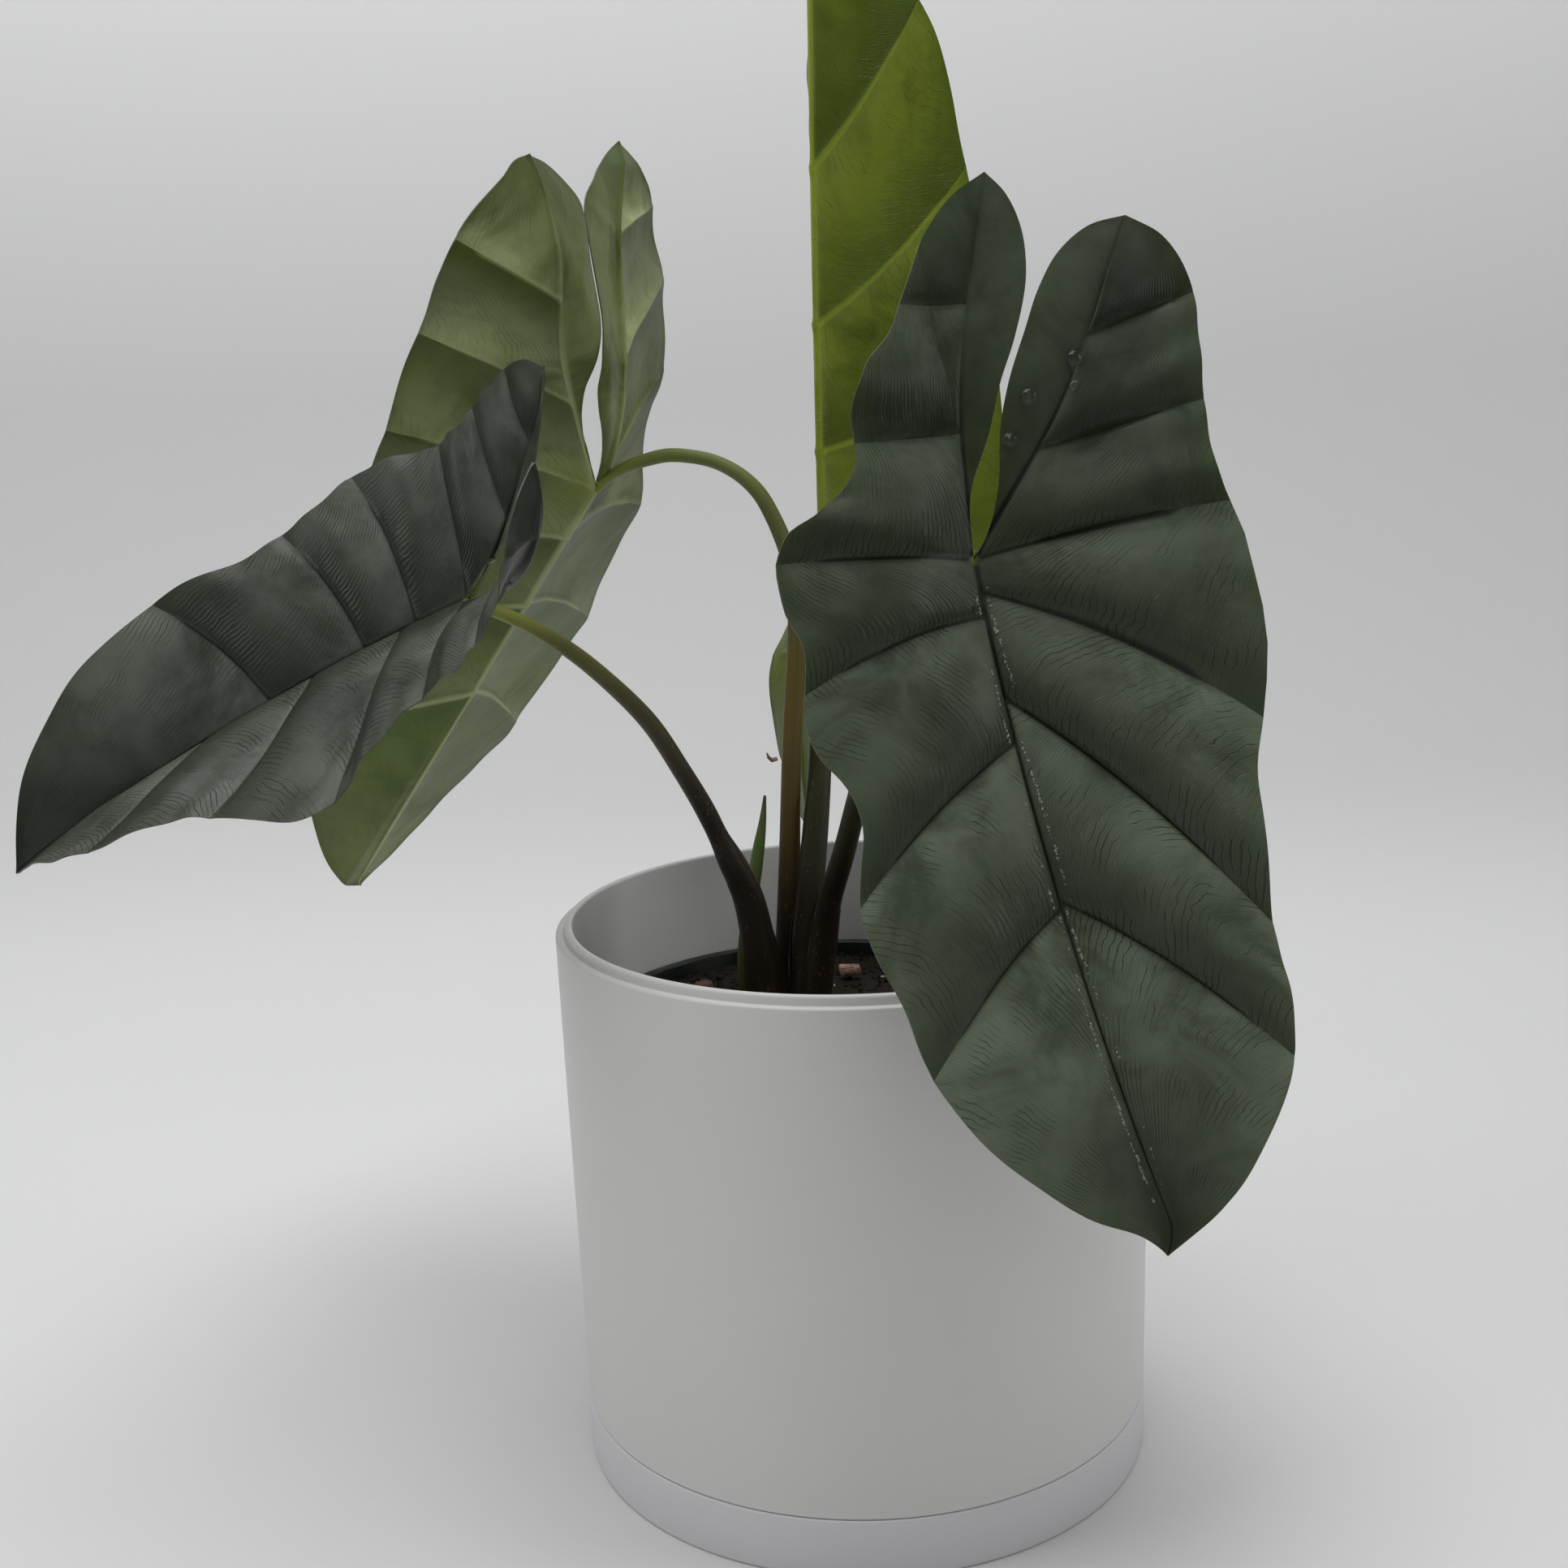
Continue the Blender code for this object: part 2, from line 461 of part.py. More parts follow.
def crown_shape(name, extra, top, finish):
    """The short thick stump that every leaf stem grows from, rounded below."""
    radius, low = CROWN_RADIUS + extra, CROWN_TOP - CROWN_DEPTH - extra
    return turned(name, [(0, low), (radius * 0.5, low), (radius * 0.85, low + 4.0), (radius, low + 10.0),
                         (radius, top - 0.8), (radius - 0.8, top), (0, top)],
                  finish, CROWN_CENTRE, 32)


def main():
    clear_scene()
    white = material("white plastic", (0.60, 0.60, 0.59), 0.42)
    black = material("black plastic", (0.012, 0.018, 0.014), 0.45)
    earth = material("potting soil", (0.020, 0.015, 0.011), 0.95)
    bark = material("bark", (0.16, 0.09, 0.06), 0.85)
    dark_leaf = material("dark leaf", (0.050, 0.065, 0.050), 0.42)
    green_leaf = material("green leaf", (0.12, 0.18, 0.05), 0.45)
    stalk = material("leaf stem", (0.14, 0.13, 0.04), 0.40)
    dry = material("dry husk", (0.13, 0.07, 0.03), 0.80)

    make_saucer(white)
    make_planter(white)
    make_nursery_pot(black)
    make_soil(earth)
    crown_shape("crown", 0.0, CROWN_TOP, dry)
    for name, route in STEMS.items():
        small = name in ("new_shoot", "dry_bract")
        stem(name, route, dry if name == "dry_bract" else stalk, 8 if small else STEM_SIDES)
    for name, leaf in LEAVES.items():
        leaf_blade(name, leaf, green_leaf if name == "leaf_upright" else dark_leaf)
    for number, place in enumerate(CHIPS, start=1):
        chip("bark_chip_%d" % number, place, bark)


main()
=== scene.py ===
"""Potted alocasia: four arrow-shaped leaves on tall leaf stems, in a nursery pot inside a white planter.

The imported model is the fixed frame: +Z is up, -Y is the front and the origin is the middle of the
saucer's underside. Every table below is in millimetres, and MM turns it into metres where a mesh is made.
"""

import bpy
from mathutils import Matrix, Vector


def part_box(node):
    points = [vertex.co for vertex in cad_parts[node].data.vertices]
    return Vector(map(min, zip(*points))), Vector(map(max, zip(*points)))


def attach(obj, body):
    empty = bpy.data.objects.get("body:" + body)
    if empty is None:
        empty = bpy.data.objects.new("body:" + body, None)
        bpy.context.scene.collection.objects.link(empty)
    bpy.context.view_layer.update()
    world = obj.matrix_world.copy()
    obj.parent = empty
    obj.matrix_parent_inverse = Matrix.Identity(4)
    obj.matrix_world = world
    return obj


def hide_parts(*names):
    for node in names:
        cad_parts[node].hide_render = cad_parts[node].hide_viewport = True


bl_info = {
    "name": "Potted Alocasia",
    "version": (1, 0, 0),
    "blender": (4, 5, 0),
    "location": "View3D > Sidebar > Alocasia",
    "description": "Builds a potted alocasia around its packed frame",
    "category": "Add Mesh",
}

import math

import bmesh
import bpy
import numpy as np
from bpy.props import FloatProperty, FloatVectorProperty, IntProperty, PointerProperty
from bpy.types import NodeSocket, Operator, Panel, PropertyGroup
from mathutils import Matrix, Vector

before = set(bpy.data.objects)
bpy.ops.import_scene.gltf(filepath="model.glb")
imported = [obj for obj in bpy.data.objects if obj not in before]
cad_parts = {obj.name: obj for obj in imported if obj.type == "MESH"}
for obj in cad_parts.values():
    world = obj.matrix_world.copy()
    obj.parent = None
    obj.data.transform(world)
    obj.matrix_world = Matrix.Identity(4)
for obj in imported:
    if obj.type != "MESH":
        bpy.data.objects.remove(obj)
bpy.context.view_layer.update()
MM = 0.001
EFFECTS, FINISHES = {}, {}     # shader groups and materials by name, filled by make_finishes


# ---- Sizes and colours a user may change ----------------------------------------------------------
def length(name, description, default):
    return FloatProperty(name=name, description=description, default=default, min=0.0, precision=5,
                         unit='LENGTH')


def colour(name, description, default):
    return FloatVectorProperty(name=name, description=description, default=default, min=0.0, max=1.0,
                               size=3, subtype='COLOR')


class AlocasiaPots(PropertyGroup):
    sides: IntProperty(name="Sides", description="Facets round the planter, saucer and nursery pot",
                       default=192, min=24)
    lip_round: length("Lip round", "Radius of the rounded top of the planter's lip", 0.00105)
    wall: length("Nursery wall", "Thickness of the nursery pot's wall", 0.0014)
    white: colour("White plastic", "Planter and saucer", (0.71, 0.71, 0.698))
    black: colour("Black plastic", "Nursery pot", (0.010, 0.016, 0.012))


class AlocasiaSoil(PropertyGroup):
    crumbs: IntProperty(name="Crumbs", description="Loose crumbs lying on the soil", default=1500, min=0)
    crumb_size: length("Crumb size", "Width of the largest crumb", 0.0034)
    perlite: IntProperty(name="Perlite", description="Pale specks lying on the soil", default=34, min=0)
    seed: IntProperty(name="Seed", description="Seed of the scatter", default=7)
    damp: colour("Damp soil", "Soil and crumbs", (0.013, 0.010, 0.008))
    bark: colour("Bark", "Bark chips", (0.17, 0.085, 0.055))


class AlocasiaStems(PropertyGroup):
    sides: IntProperty(name="Sides", description="Facets round a leaf stem", default=28, min=8)
    ring_step: length("Ring step", "Distance between a stem's rings", 0.0016)
    young: colour("Young skin", "The stem just below its leaf", (0.25, 0.30, 0.055))
    old: colour("Old skin", "The stem's base", (0.020, 0.013, 0.008))


class AlocasiaLeaves(PropertyGroup):
    thickness: length("Thickness", "Thickness of the blade at its midrib", 0.0009)
    quilting: length("Quilting", "Height of the swellings between the side veins", 0.0050)
    rib_height: length("Rib height", "How far the midrib stands out of the underside", 0.0015)
    upper: colour("Upper side", "The dark upper side", (0.014, 0.023, 0.009))
    upper_green: colour("Upper green", "Green showing near the margins and veins", (0.055, 0.100, 0.014))
    under: colour("Underside", "The green underside", (0.100, 0.150, 0.018))
    edge: colour("Edge", "The thin pale line round the margin", (0.105, 0.130, 0.075))


class AlocasiaStage(PropertyGroup):
    floor: colour("Floor", "Floor and backdrop", (0.72, 0.722, 0.725))
    key: FloatProperty(name="Key light", description="Power of the large soft light above", default=13.6,
                       min=0.0, unit='POWER')
    fill: FloatProperty(name="Fill", description="Strength of the even light all round", default=0.15,
                        min=0.0)
    lens: FloatProperty(name="Lens", description="Focal length", default=42.95, min=1.0, unit='CAMERA')


# ---- Curves through points ------------------------------------------------------------------------
def smooth_value(stations, values, where):
    """Values between stations on a smooth curve; each station's slope is that of its neighbours."""
    stations, values = np.asarray(stations, float), np.asarray(values, float)
    slopes = np.gradient(values, stations)
    where = np.clip(where, stations[0], stations[-1])
    low = np.clip(np.searchsorted(stations, where) - 1, 0, len(stations) - 2)
    span = stations[low + 1] - stations[low]
    t = (where - stations[low]) / span
    return (values[low] * (1 + 2 * t) * (1 - t) ** 2 + slopes[low] * span * t * (1 - t) ** 2
            + values[low + 1] * t * t * (3 - 2 * t) + slopes[low + 1] * span * t * t * (t - 1))


def smooth_path(points, where):
    """Points on a smooth curve through the given ones; where runs from 0 to 1 along its length."""
    points = np.asarray(points, float)
    place = np.append(0.0, np.cumsum(np.linalg.norm(np.diff(points, axis=0), axis=1)))
    place /= place[-1]
    return np.stack([smooth_value(place, column, where) for column in points.T], axis=-1)


def ease(value, low, high):
    """0 below low, 1 above high and a smooth rise between."""
    t = np.clip((value - low) / (high - low), 0.0, 1.0)
    return t * t * (3.0 - 2.0 * t)


def unit(vector):
    vector = np.asarray(vector, float)
    return vector / np.linalg.norm(vector)


def rolling(places, pitch, seed, octaves=2):
    """Gentle unevenness over 2-D or 3-D places, from about -1 to 1: a few crossed sine waves."""
    draw = np.random.default_rng(seed)
    total = np.zeros(len(places))
    for octave in range(octaves):
        for _ in range(5):
            way = unit(draw.normal(size=places.shape[1]))
            swing = draw.uniform(0.7, 1.4) * 2.0 ** octave
            total += np.sin(places @ way * 2.0 * math.pi * swing / pitch
                            + draw.uniform(0.0, 6.3)) / 2.0 ** octave
    return total / 5.0


# ---- Meshes ---------------------------------------------------------------------------------------
def new_object(name, data):
    """An object made of the given mesh, curve, light or camera, put into the scene."""
    item = bpy.data.objects.new(name, data)
    bpy.context.collection.objects.link(item)
    return item


def in_mm(box):
    """A box's lowest and highest corners, in millimetres."""
    return tuple(np.array(corner) / MM for corner in box)


def mesh_object(name, points, faces, finishes, face_finish=None, sharp=35.0):
    """One object from points in millimetres, smooth but for edges sharper than the angle."""
    mesh = bpy.data.meshes.new(name)
    mesh.from_pydata([tuple(c * MM for c in p) for p in points], [],
                     [tuple(int(k) for k in f) for f in faces])
    for finish in finishes:
        mesh.materials.append(finish)
    if face_finish is not None:
        mesh.polygons.foreach_set("material_index", np.asarray(face_finish, dtype=np.int32))
    mesh.shade_smooth()
    mesh.set_sharp_from_angle(angle=math.radians(sharp))
    return new_object(name, mesh)


def settle(item, name):
    """The object's evaluated shape as a plain mesh, with no modifiers left."""
    seen = item.evaluated_get(bpy.context.evaluated_depsgraph_get())
    mesh = bpy.data.meshes.new_from_object(seen, preserve_all_data_layers=True,
                                           depsgraph=bpy.context.evaluated_depsgraph_get())
    mesh.name = name
    made = new_object(name, mesh)
    bpy.data.objects.remove(item, do_unlink=True)
    return made


def grown(item, tree, name, settings):
    """The plain mesh that a geometry nodes group makes of an object, which is used up."""
    modifier = item.modifiers.new("shape", 'NODES')
    modifier.node_group = tree
    labels = {socket.name: socket.identifier for socket in tree.interface.items_tree
              if socket.item_type == 'SOCKET' and socket.in_out == 'INPUT'}
    for label, value in settings.items():
        modifier[labels[label]] = value
    return settle(item, name)


def placed(item, node=None):
    """Hand a finished piece to the frame: what it rides on and what it stands for."""
    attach(item, "root")
    if node:
        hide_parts(node)
    return item


def rounded(corners, radius, steps=4):
    """A profile with its corners rounded; a corner with a third number has that radius instead."""
    ends = [corners[0][:2]]
    for before, here, after in zip(corners, corners[1:], corners[2:]):
        own = here[2] if len(here) > 2 else radius
        a, p, b = (np.asarray(c[:2], float) for c in (before, here, after))
        reach_a, reach_b = np.linalg.norm(a - p), np.linalg.norm(b - p)
        own = min(own, 0.45 * reach_a, 0.45 * reach_b)
        start, stop = p + (a - p) / reach_a * own, p + (b - p) / reach_b * own
        for k in range(steps + 1):
            t = k / steps
            ends.append(tuple((1 - t) ** 2 * start + 2 * t * (1 - t) * p + t * t * stop))
    return ends + [corners[-1][:2]]


def turned(name, profile, finish, sides, centre=(0.0, 0.0)):
    """A solid of revolution from (radius, height) pairs that start and end on the axis."""
    points, faces = [(centre[0], centre[1], profile[0][1]), (centre[0], centre[1], profile[-1][1])], []
    rows = profile[1:-1]
    for k in range(sides):
        angle = 2.0 * math.pi * k / sides
        points += [(centre[0] + r * math.cos(angle), centre[1] + r * math.sin(angle), z) for r, z in rows]
    for k in range(sides):
        here, after = 2 + k * len(rows), 2 + (k + 1) % sides * len(rows)
        faces.append((0, after, here))
        faces.append((1, here + len(rows) - 1, after + len(rows) - 1))
        for j in range(len(rows) - 1):
            faces.append((here + j, after + j, after + j + 1, here + j + 1))
    return mesh_object(name, points, faces, [finish])


def drilled(item, count, ring_radius, hole_radius, low, high, centre=(0.0, 0.0)):
    """The object with a ring of upright round holes through its floor."""
    name = item.name
    work = bmesh.new()
    for k in range(count):
        angle = 2.0 * math.pi * k / count
        place = Matrix.Translation(((centre[0] + ring_radius * math.cos(angle)) * MM,
                                    (centre[1] + ring_radius * math.sin(angle)) * MM,
                                    (low + high) / 2 * MM))
        bmesh.ops.create_cone(work, cap_ends=True, segments=28, radius1=hole_radius * MM,
                              radius2=hole_radius * MM, depth=(high - low) * MM, matrix=place)
    mesh = bpy.data.meshes.new("drill")
    work.to_mesh(mesh)
    work.free()
    drill = new_object("drill", mesh)
    bore = item.modifiers.new("drain holes", 'BOOLEAN')
    bore.object, bore.operation, bore.solver = drill, 'DIFFERENCE', 'EXACT'
    item.name = name + "_blank"
    made = settle(item, name)
    bpy.data.objects.remove(drill, do_unlink=True)
    made.data.set_sharp_from_angle(angle=math.radians(35))
    return made


# ---- Nodes ----------------------------------------------------------------------------------------
def add_node(tree, kind, inputs=None, **settings):
    """A node with its settings made and its inputs set or linked."""
    node = tree.nodes.new(kind)
    for key, value in settings.items():
        setattr(node, key, value)
    for key, value in (inputs or {}).items():
        if isinstance(value, NodeSocket):
            tree.links.new(value, node.inputs[key])
        else:
            node.inputs[key].default_value = value
    return node


# Each helper below builds in the tree that its first socket belongs to.
def maths(operation, *values, clamp=False):
    """The result of a Math node."""
    tree = next(value.id_data for value in values if isinstance(value, NodeSocket))
    return add_node(tree, 'ShaderNodeMath', dict(enumerate(values)), operation=operation,
                    use_clamp=clamp).outputs[0]


def times(first, *others, clamp=False):
    """The product of two or more values."""
    for other in others:
        first = maths('MULTIPLY', first, other, clamp=clamp)
    return first


def times_plus(value, factor, offset, clamp=False):
    """A value times a factor, plus an offset."""
    return maths('MULTIPLY_ADD', value, factor, offset, clamp=clamp)


def between(value, low, high, start=0.0, stop=1.0):
    """start where the value is below low, stop where it is above high, and a smooth step between."""
    return add_node(value.id_data, 'ShaderNodeMapRange', {0: value, 1: low, 2: high, 3: start, 4: stop},
                    interpolation_type='SMOOTHSTEP').outputs[0]


def tint(amount, below, above, how='MIX'):
    """One colour blended over another."""
    tree = amount.id_data
    node = add_node(tree, 'ShaderNodeMix', data_type='RGBA', blend_type=how)
    for socket, value in ((node.inputs[0], amount), (node.inputs[6], below), (node.inputs[7], above)):
        if isinstance(value, NodeSocket):
            tree.links.new(value, socket)
        else:
            socket.default_value = (*value[:3], 1.0)
    return node.outputs[2]


def noise(place, scale, detail=3.0, rough=0.55, twist=0.0):
    """The value of a noise texture."""
    return add_node(place.id_data, 'ShaderNodeTexNoise',
                    {"Vector": place, "Scale": scale, "Detail": detail, "Roughness": rough,
                     "Distortion": twist}).outputs["Fac"]


def stretched(place, scale):
    """A place scaled by its own amount each way, for a pattern that runs along something."""
    return add_node(place.id_data, 'ShaderNodeMapping', {"Vector": place, "Scale": scale}).outputs[0]


def new_group(name, inputs, outputs):
    """An empty shader node group with its named sockets."""
    group = bpy.data.node_groups.new(name, 'ShaderNodeTree')
    for label, kind, default in inputs:
        socket = group.interface.new_socket(label, in_out='INPUT', socket_type='NodeSocket' + kind)
        if default is not None:
            socket.default_value = default
    for label, kind in outputs:
        group.interface.new_socket(label, in_out='OUTPUT', socket_type='NodeSocket' + kind)
    return group, add_node(group, 'NodeGroupInput').outputs, add_node(group, 'NodeGroupOutput').inputs


def part_of(vector, axis):
    """One axis of a vector."""
    return add_node(vector.id_data, 'ShaderNodeSeparateXYZ', {0: vector}).outputs[axis]


def effect(name, place, **settings):
    """One of the shared effects, placed in a material, and its outputs."""
    return add_node(place.id_data, 'ShaderNodeGroup', {"Place": place, **settings},
                    node_tree=EFFECTS[name]).outputs


def blotch(place, scale, spread):
    """The mask of soft irregular patches."""
    return effect("blotch", place, Scale=scale, Spread=spread)["Mask"]


def dust(place, scale, amount):
    """The mask of settled specks."""
    return effect("dust", place, Scale=scale, Amount=amount)["Mask"]


def grain(place, scale):
    """The height of fine even grain."""
    return effect("grain", place, Scale=scale)["Height"]


def new_finish(name, roughness, **sockets):
    """A new material: its Principled shader and where on the object each place is."""
    finish = bpy.data.materials.new(name)
    finish.use_nodes = True
    tree = finish.node_tree
    shader = tree.nodes["Principled BSDF"]
    shader.inputs["Roughness"].default_value = roughness
    for key, value in sockets.items():
        shader.inputs[key.replace("_", " ")].default_value = value
    return finish, shader, add_node(tree, 'ShaderNodeTexCoord').outputs["Object"]


def finish_with(shader, base=None, roughness=None, height=None, depth=0.0001):
    """Link what the nodes made to the shader: base colour, roughness and a bump of the given depth."""
    tree = shader.id_data
    if base is not None:
        tree.links.new(base, shader.inputs["Base Color"])
    if roughness is not None:
        tree.links.new(roughness, shader.inputs["Roughness"])
    if height is not None:
        bump = add_node(tree, 'ShaderNodeBump', {"Height": height, "Distance": depth, "Strength": 1.0})
        tree.links.new(bump.outputs[0], shader.inputs["Normal"])


# ---- Effects that several finishes share ----------------------------------------------------------
def grain_effect():
    """Fine even grain, as on moulded plastic or waxy skin."""
    group, given, out = new_group("Fine grain", [("Place", 'Vector', None), ("Scale", 'Float', 900.0)],
                                  [("Height", 'Float'), ("Speckle", 'Float')])
    fine = noise(given["Place"], given["Scale"], 2.0, 0.6)
    coarse = noise(given["Place"], times(given["Scale"], 0.23), 2.0, 0.5)
    group.links.new(maths('ADD', fine, times(coarse, 0.5)), out["Height"])
    group.links.new(between(fine, 0.60, 0.72), out["Speckle"])
    return group


def blotch_effect():
    """Soft irregular patches, as where a colour is stronger or weaker."""
    group, given, out = new_group("Blotches", [("Place", 'Vector', None), ("Scale", 'Float', 30.0),
                                               ("Spread", 'Float', 0.12)], [("Mask", 'Float')])
    cloud = noise(given["Place"], given["Scale"], 4.0, 0.55, 0.4)
    low = maths('SUBTRACT', 0.52, given["Spread"])
    high = maths('ADD', 0.52, given["Spread"])
    group.links.new(between(cloud, low, high), out["Mask"])
    return group


def dust_effect():
    """Sparse settled specks, thicker on what faces up."""
    group, given, out = new_group("Settled dust", [("Place", 'Vector', None), ("Scale", 'Float', 600.0),
                                                   ("Amount", 'Float', 0.5)], [("Mask", 'Float')])
    specks = add_node(group, 'ShaderNodeTexVoronoi', {"Vector": given["Place"], "Scale": given["Scale"]})
    dots = between(specks.outputs["Distance"], 0.05, 0.17, 1.0, 0.0)
    thin = between(noise(given["Place"], times(given["Scale"], 0.08)), 0.50, 0.66)
    upward = part_of(add_node(group, 'ShaderNodeNewGeometry').outputs["Normal"], "Z")
    lying = between(upward, -0.6, 0.9)
    group.links.new(times(dots, thin, lying, given["Amount"]), out["Mask"])
    return group


def vein_effect():
    """The hair veins between a leaf's side veins. X of the place runs from midrib to margin and Y
    counts side veins; the lines leave each side vein squarely and arch over towards the margin."""
    group, given, out = new_group(
        "Hair veins", [("Place", 'Vector', None), ("Wander", 'Vector', None), ("Lines", 'Float', 34.0),
                       ("Arch", 'Float', 13.0)],
        [("Lines", 'Float'), ("Pleats", 'Float')])
    parts = add_node(group, 'ShaderNodeSeparateXYZ', {0: given["Place"]}).outputs
    part_way = maths('FRACT', parts["Y"])
    rest = maths('SUBTRACT', 1.0, part_way)
    arch = times(rest, rest, given["Arch"])
    wander = times_plus(noise(given["Wander"], 55.0, 3.0, 0.6), 3.6,
                        times(noise(given["Wander"], 300.0, 2.0, 0.6), 0.8))
    order = maths('ADD', maths('SUBTRACT', times(parts["X"], given["Lines"]), arch), wander)
    away = maths('PINGPONG', order, 0.5)
    thin = between(away, 0.0, 0.085, 1.0, 0.0)
    faint = between(noise(given["Wander"], 90.0, 2.0, 0.5), 0.42, 0.62)
    finer = between(maths('PINGPONG', times(order, 2.7), 0.5), 0.0, 0.10, 1.0, 0.0)
    both = times_plus(finer, 0.35, times(thin, faint))
    group.links.new(maths('MINIMUM', both, 1.0), out["Lines"])
    swell = maths('SINE', times(order, 2.0 * math.pi))
    group.links.new(times_plus(swell, 0.5, 0.5), out["Pleats"])
    return group


# ---- Finishes -------------------------------------------------------------------------------------
def white_plastic(name, base):
    """Matte moulded plastic: a fine even grain, a faint unevenness of sheen and a little dust."""
    finish, shader, place = new_finish(name, 0.45)
    fine = grain(place, 1500.0)
    patches = blotch(place, 14.0, 0.25)
    specks = dust(place, 260.0, 0.5)
    pale = tint(times(patches, 0.35), base, [c * 0.965 for c in base])
    pale = tint(specks, pale, [c * 0.72 for c in base])
    rough = times_plus(patches, 0.07, 0.40)
    finish_with(shader, pale, rough, fine, 0.00003)
    return finish


def black_plastic(look):
    """Thin blow-moulded pot plastic, satin, with soil dust on its rim."""
    finish, shader, place = new_finish("black plastic", 0.4)
    fine = grain(place, 800.0)
    dirt = blotch(place, 60.0, 0.10)
    dark = tint(times(dirt, 0.5), look.black, (0.030, 0.024, 0.018))
    finish_with(shader, dark, times_plus(dirt, 0.4, 0.34), fine, 0.00008)
    return finish


def damp_soil(look):
    """Damp peat: near black, brown where it has dried, crumbly."""
    finish, shader, place = new_finish("potting soil", 0.85)
    fine = grain(place, 700.0)
    dry = blotch(place, 90.0, 0.14)
    fleck = dust(place, 420.0, 0.7)
    earth = tint(times(dry, 0.5), look.damp, (0.024, 0.017, 0.011))
    earth = tint(fleck, earth, (0.16, 0.12, 0.085))
    finish_with(shader, earth, times_plus(dry, 0.3, 0.68), fine, 0.0006)
    shader.inputs["Specular IOR Level"].default_value = 0.15
    return finish


def bark_finish(name, base, pitch=160.0):
    """Dry bark or fibre: streaks one way, cracks and paler flakes."""
    finish, shader, place = new_finish(name, 0.85)
    streaks = noise(stretched(place, (1.0, 1.0, 0.25)), pitch * 4.0, 5.0, 0.65, 0.6)
    flakes = blotch(place, pitch, 0.10)
    brown = tint(between(streaks, 0.40, 0.62), [c * 0.30 for c in base], base)
    brown = tint(times(flakes, 0.45), brown, [min(1.0, c * 2.1 + 0.02) for c in base])
    finish_with(shader, brown, times_plus(streaks, 0.3, 0.62), streaks, 0.0008)
    return finish


def perlite_finish():
    """Crushed white perlite, a little dirty."""
    finish, shader, place = new_finish("perlite", 0.9)
    pits = noise(place, 1400.0, 3.0)
    finish_with(shader, tint(between(pits, 0.35, 0.6), (0.20, 0.17, 0.14),
                             (0.52, 0.49, 0.45)), None, pits, 0.0004)
    return finish


def water_finish():
    """A clear water bead."""
    finish, shader, _ = new_finish("water", 0.02, IOR=1.33)
    shader.inputs["Base Color"].default_value = (0.95, 0.97, 0.96, 1.0)
    shader.inputs["Transmission Weight"].default_value = 1.0
    return finish


def sap_finish():
    """Dried sap: chalky pale crumbs."""
    finish, shader, place = new_finish("dried sap", 0.7)
    pits = noise(place, 2600.0, 2.0)
    finish_with(shader, tint(between(pits, 0.42, 0.58), (0.10, 0.12, 0.10),
                             (0.42, 0.44, 0.40)), None, pits, 0.0003)
    return finish


def skin_of_stem(name, tones, freckles=0.35):
    """Waxy stem skin. "along" runs from the soil to the leaf; the tones are (where, colour) pairs."""
    finish, shader, place = new_finish(name, 0.36, Coat_Roughness=0.25)
    tree = shader.id_data
    along = add_node(tree, 'ShaderNodeAttribute', attribute_name="along").outputs["Fac"]
    drift = noise(place, 45.0, 3.0)
    where = times_plus(drift, 0.10, maths('SUBTRACT', along, 0.05))
    skin = tones[0][1]
    for (low, _), (high, tone) in zip(tones, tones[1:]):
        skin = tint(between(where, low, high), skin, tone)
    sides = add_node(tree, 'ShaderNodeUVMap', uv_map="skin").outputs[0]
    lines = noise(stretched(sides, (34.0, 3.0, 1.0)), 1.0, 4.0, 0.7, 0.2)
    skin = tint(times(between(lines, 0.44, 0.66), 0.5), skin, (0.55, 0.52, 0.46), 'MULTIPLY')
    spots = add_node(tree, 'ShaderNodeTexVoronoi',
                     {"Vector": stretched(place, (1.0, 1.0, 0.45)), "Scale": 900.0}).outputs["Distance"]
    some = between(noise(place, 160.0, 2.0), 0.47, 0.62)
    freckle = times(between(spots, 0.12, 0.30, 1.0, 0.0), some, freckles)
    skin = tint(freckle, skin, (0.24, 0.20, 0.085))
    specks = dust(place, 520.0, 0.35)
    skin = tint(specks, skin, (0.30, 0.30, 0.26))
    finish_with(shader, skin, times_plus(lines, 0.22, 0.28), lines, 0.00022)
    shader.inputs["Specular IOR Level"].default_value = 0.30
    shader.inputs["Coat Weight"].default_value = 0.05
    return finish


def leaf_marks(tree):
    """What a blade's mesh says of each place: rib, margin, joint and pleat masks, its place among the
    side veins, and how far it is from one side vein to the next."""
    marks = add_node(tree, 'ShaderNodeAttribute', attribute_name="marks")
    parts = add_node(tree, 'ShaderNodeSeparateColor', {0: marks.outputs["Color"]}).outputs
    veins = add_node(tree, 'ShaderNodeUVMap', uv_map="veins").outputs[0]
    part_way = maths('FRACT', part_of(veins, "Y"))
    return parts["Red"], parts["Green"], parts["Blue"], marks.outputs["Alpha"], veins, part_way


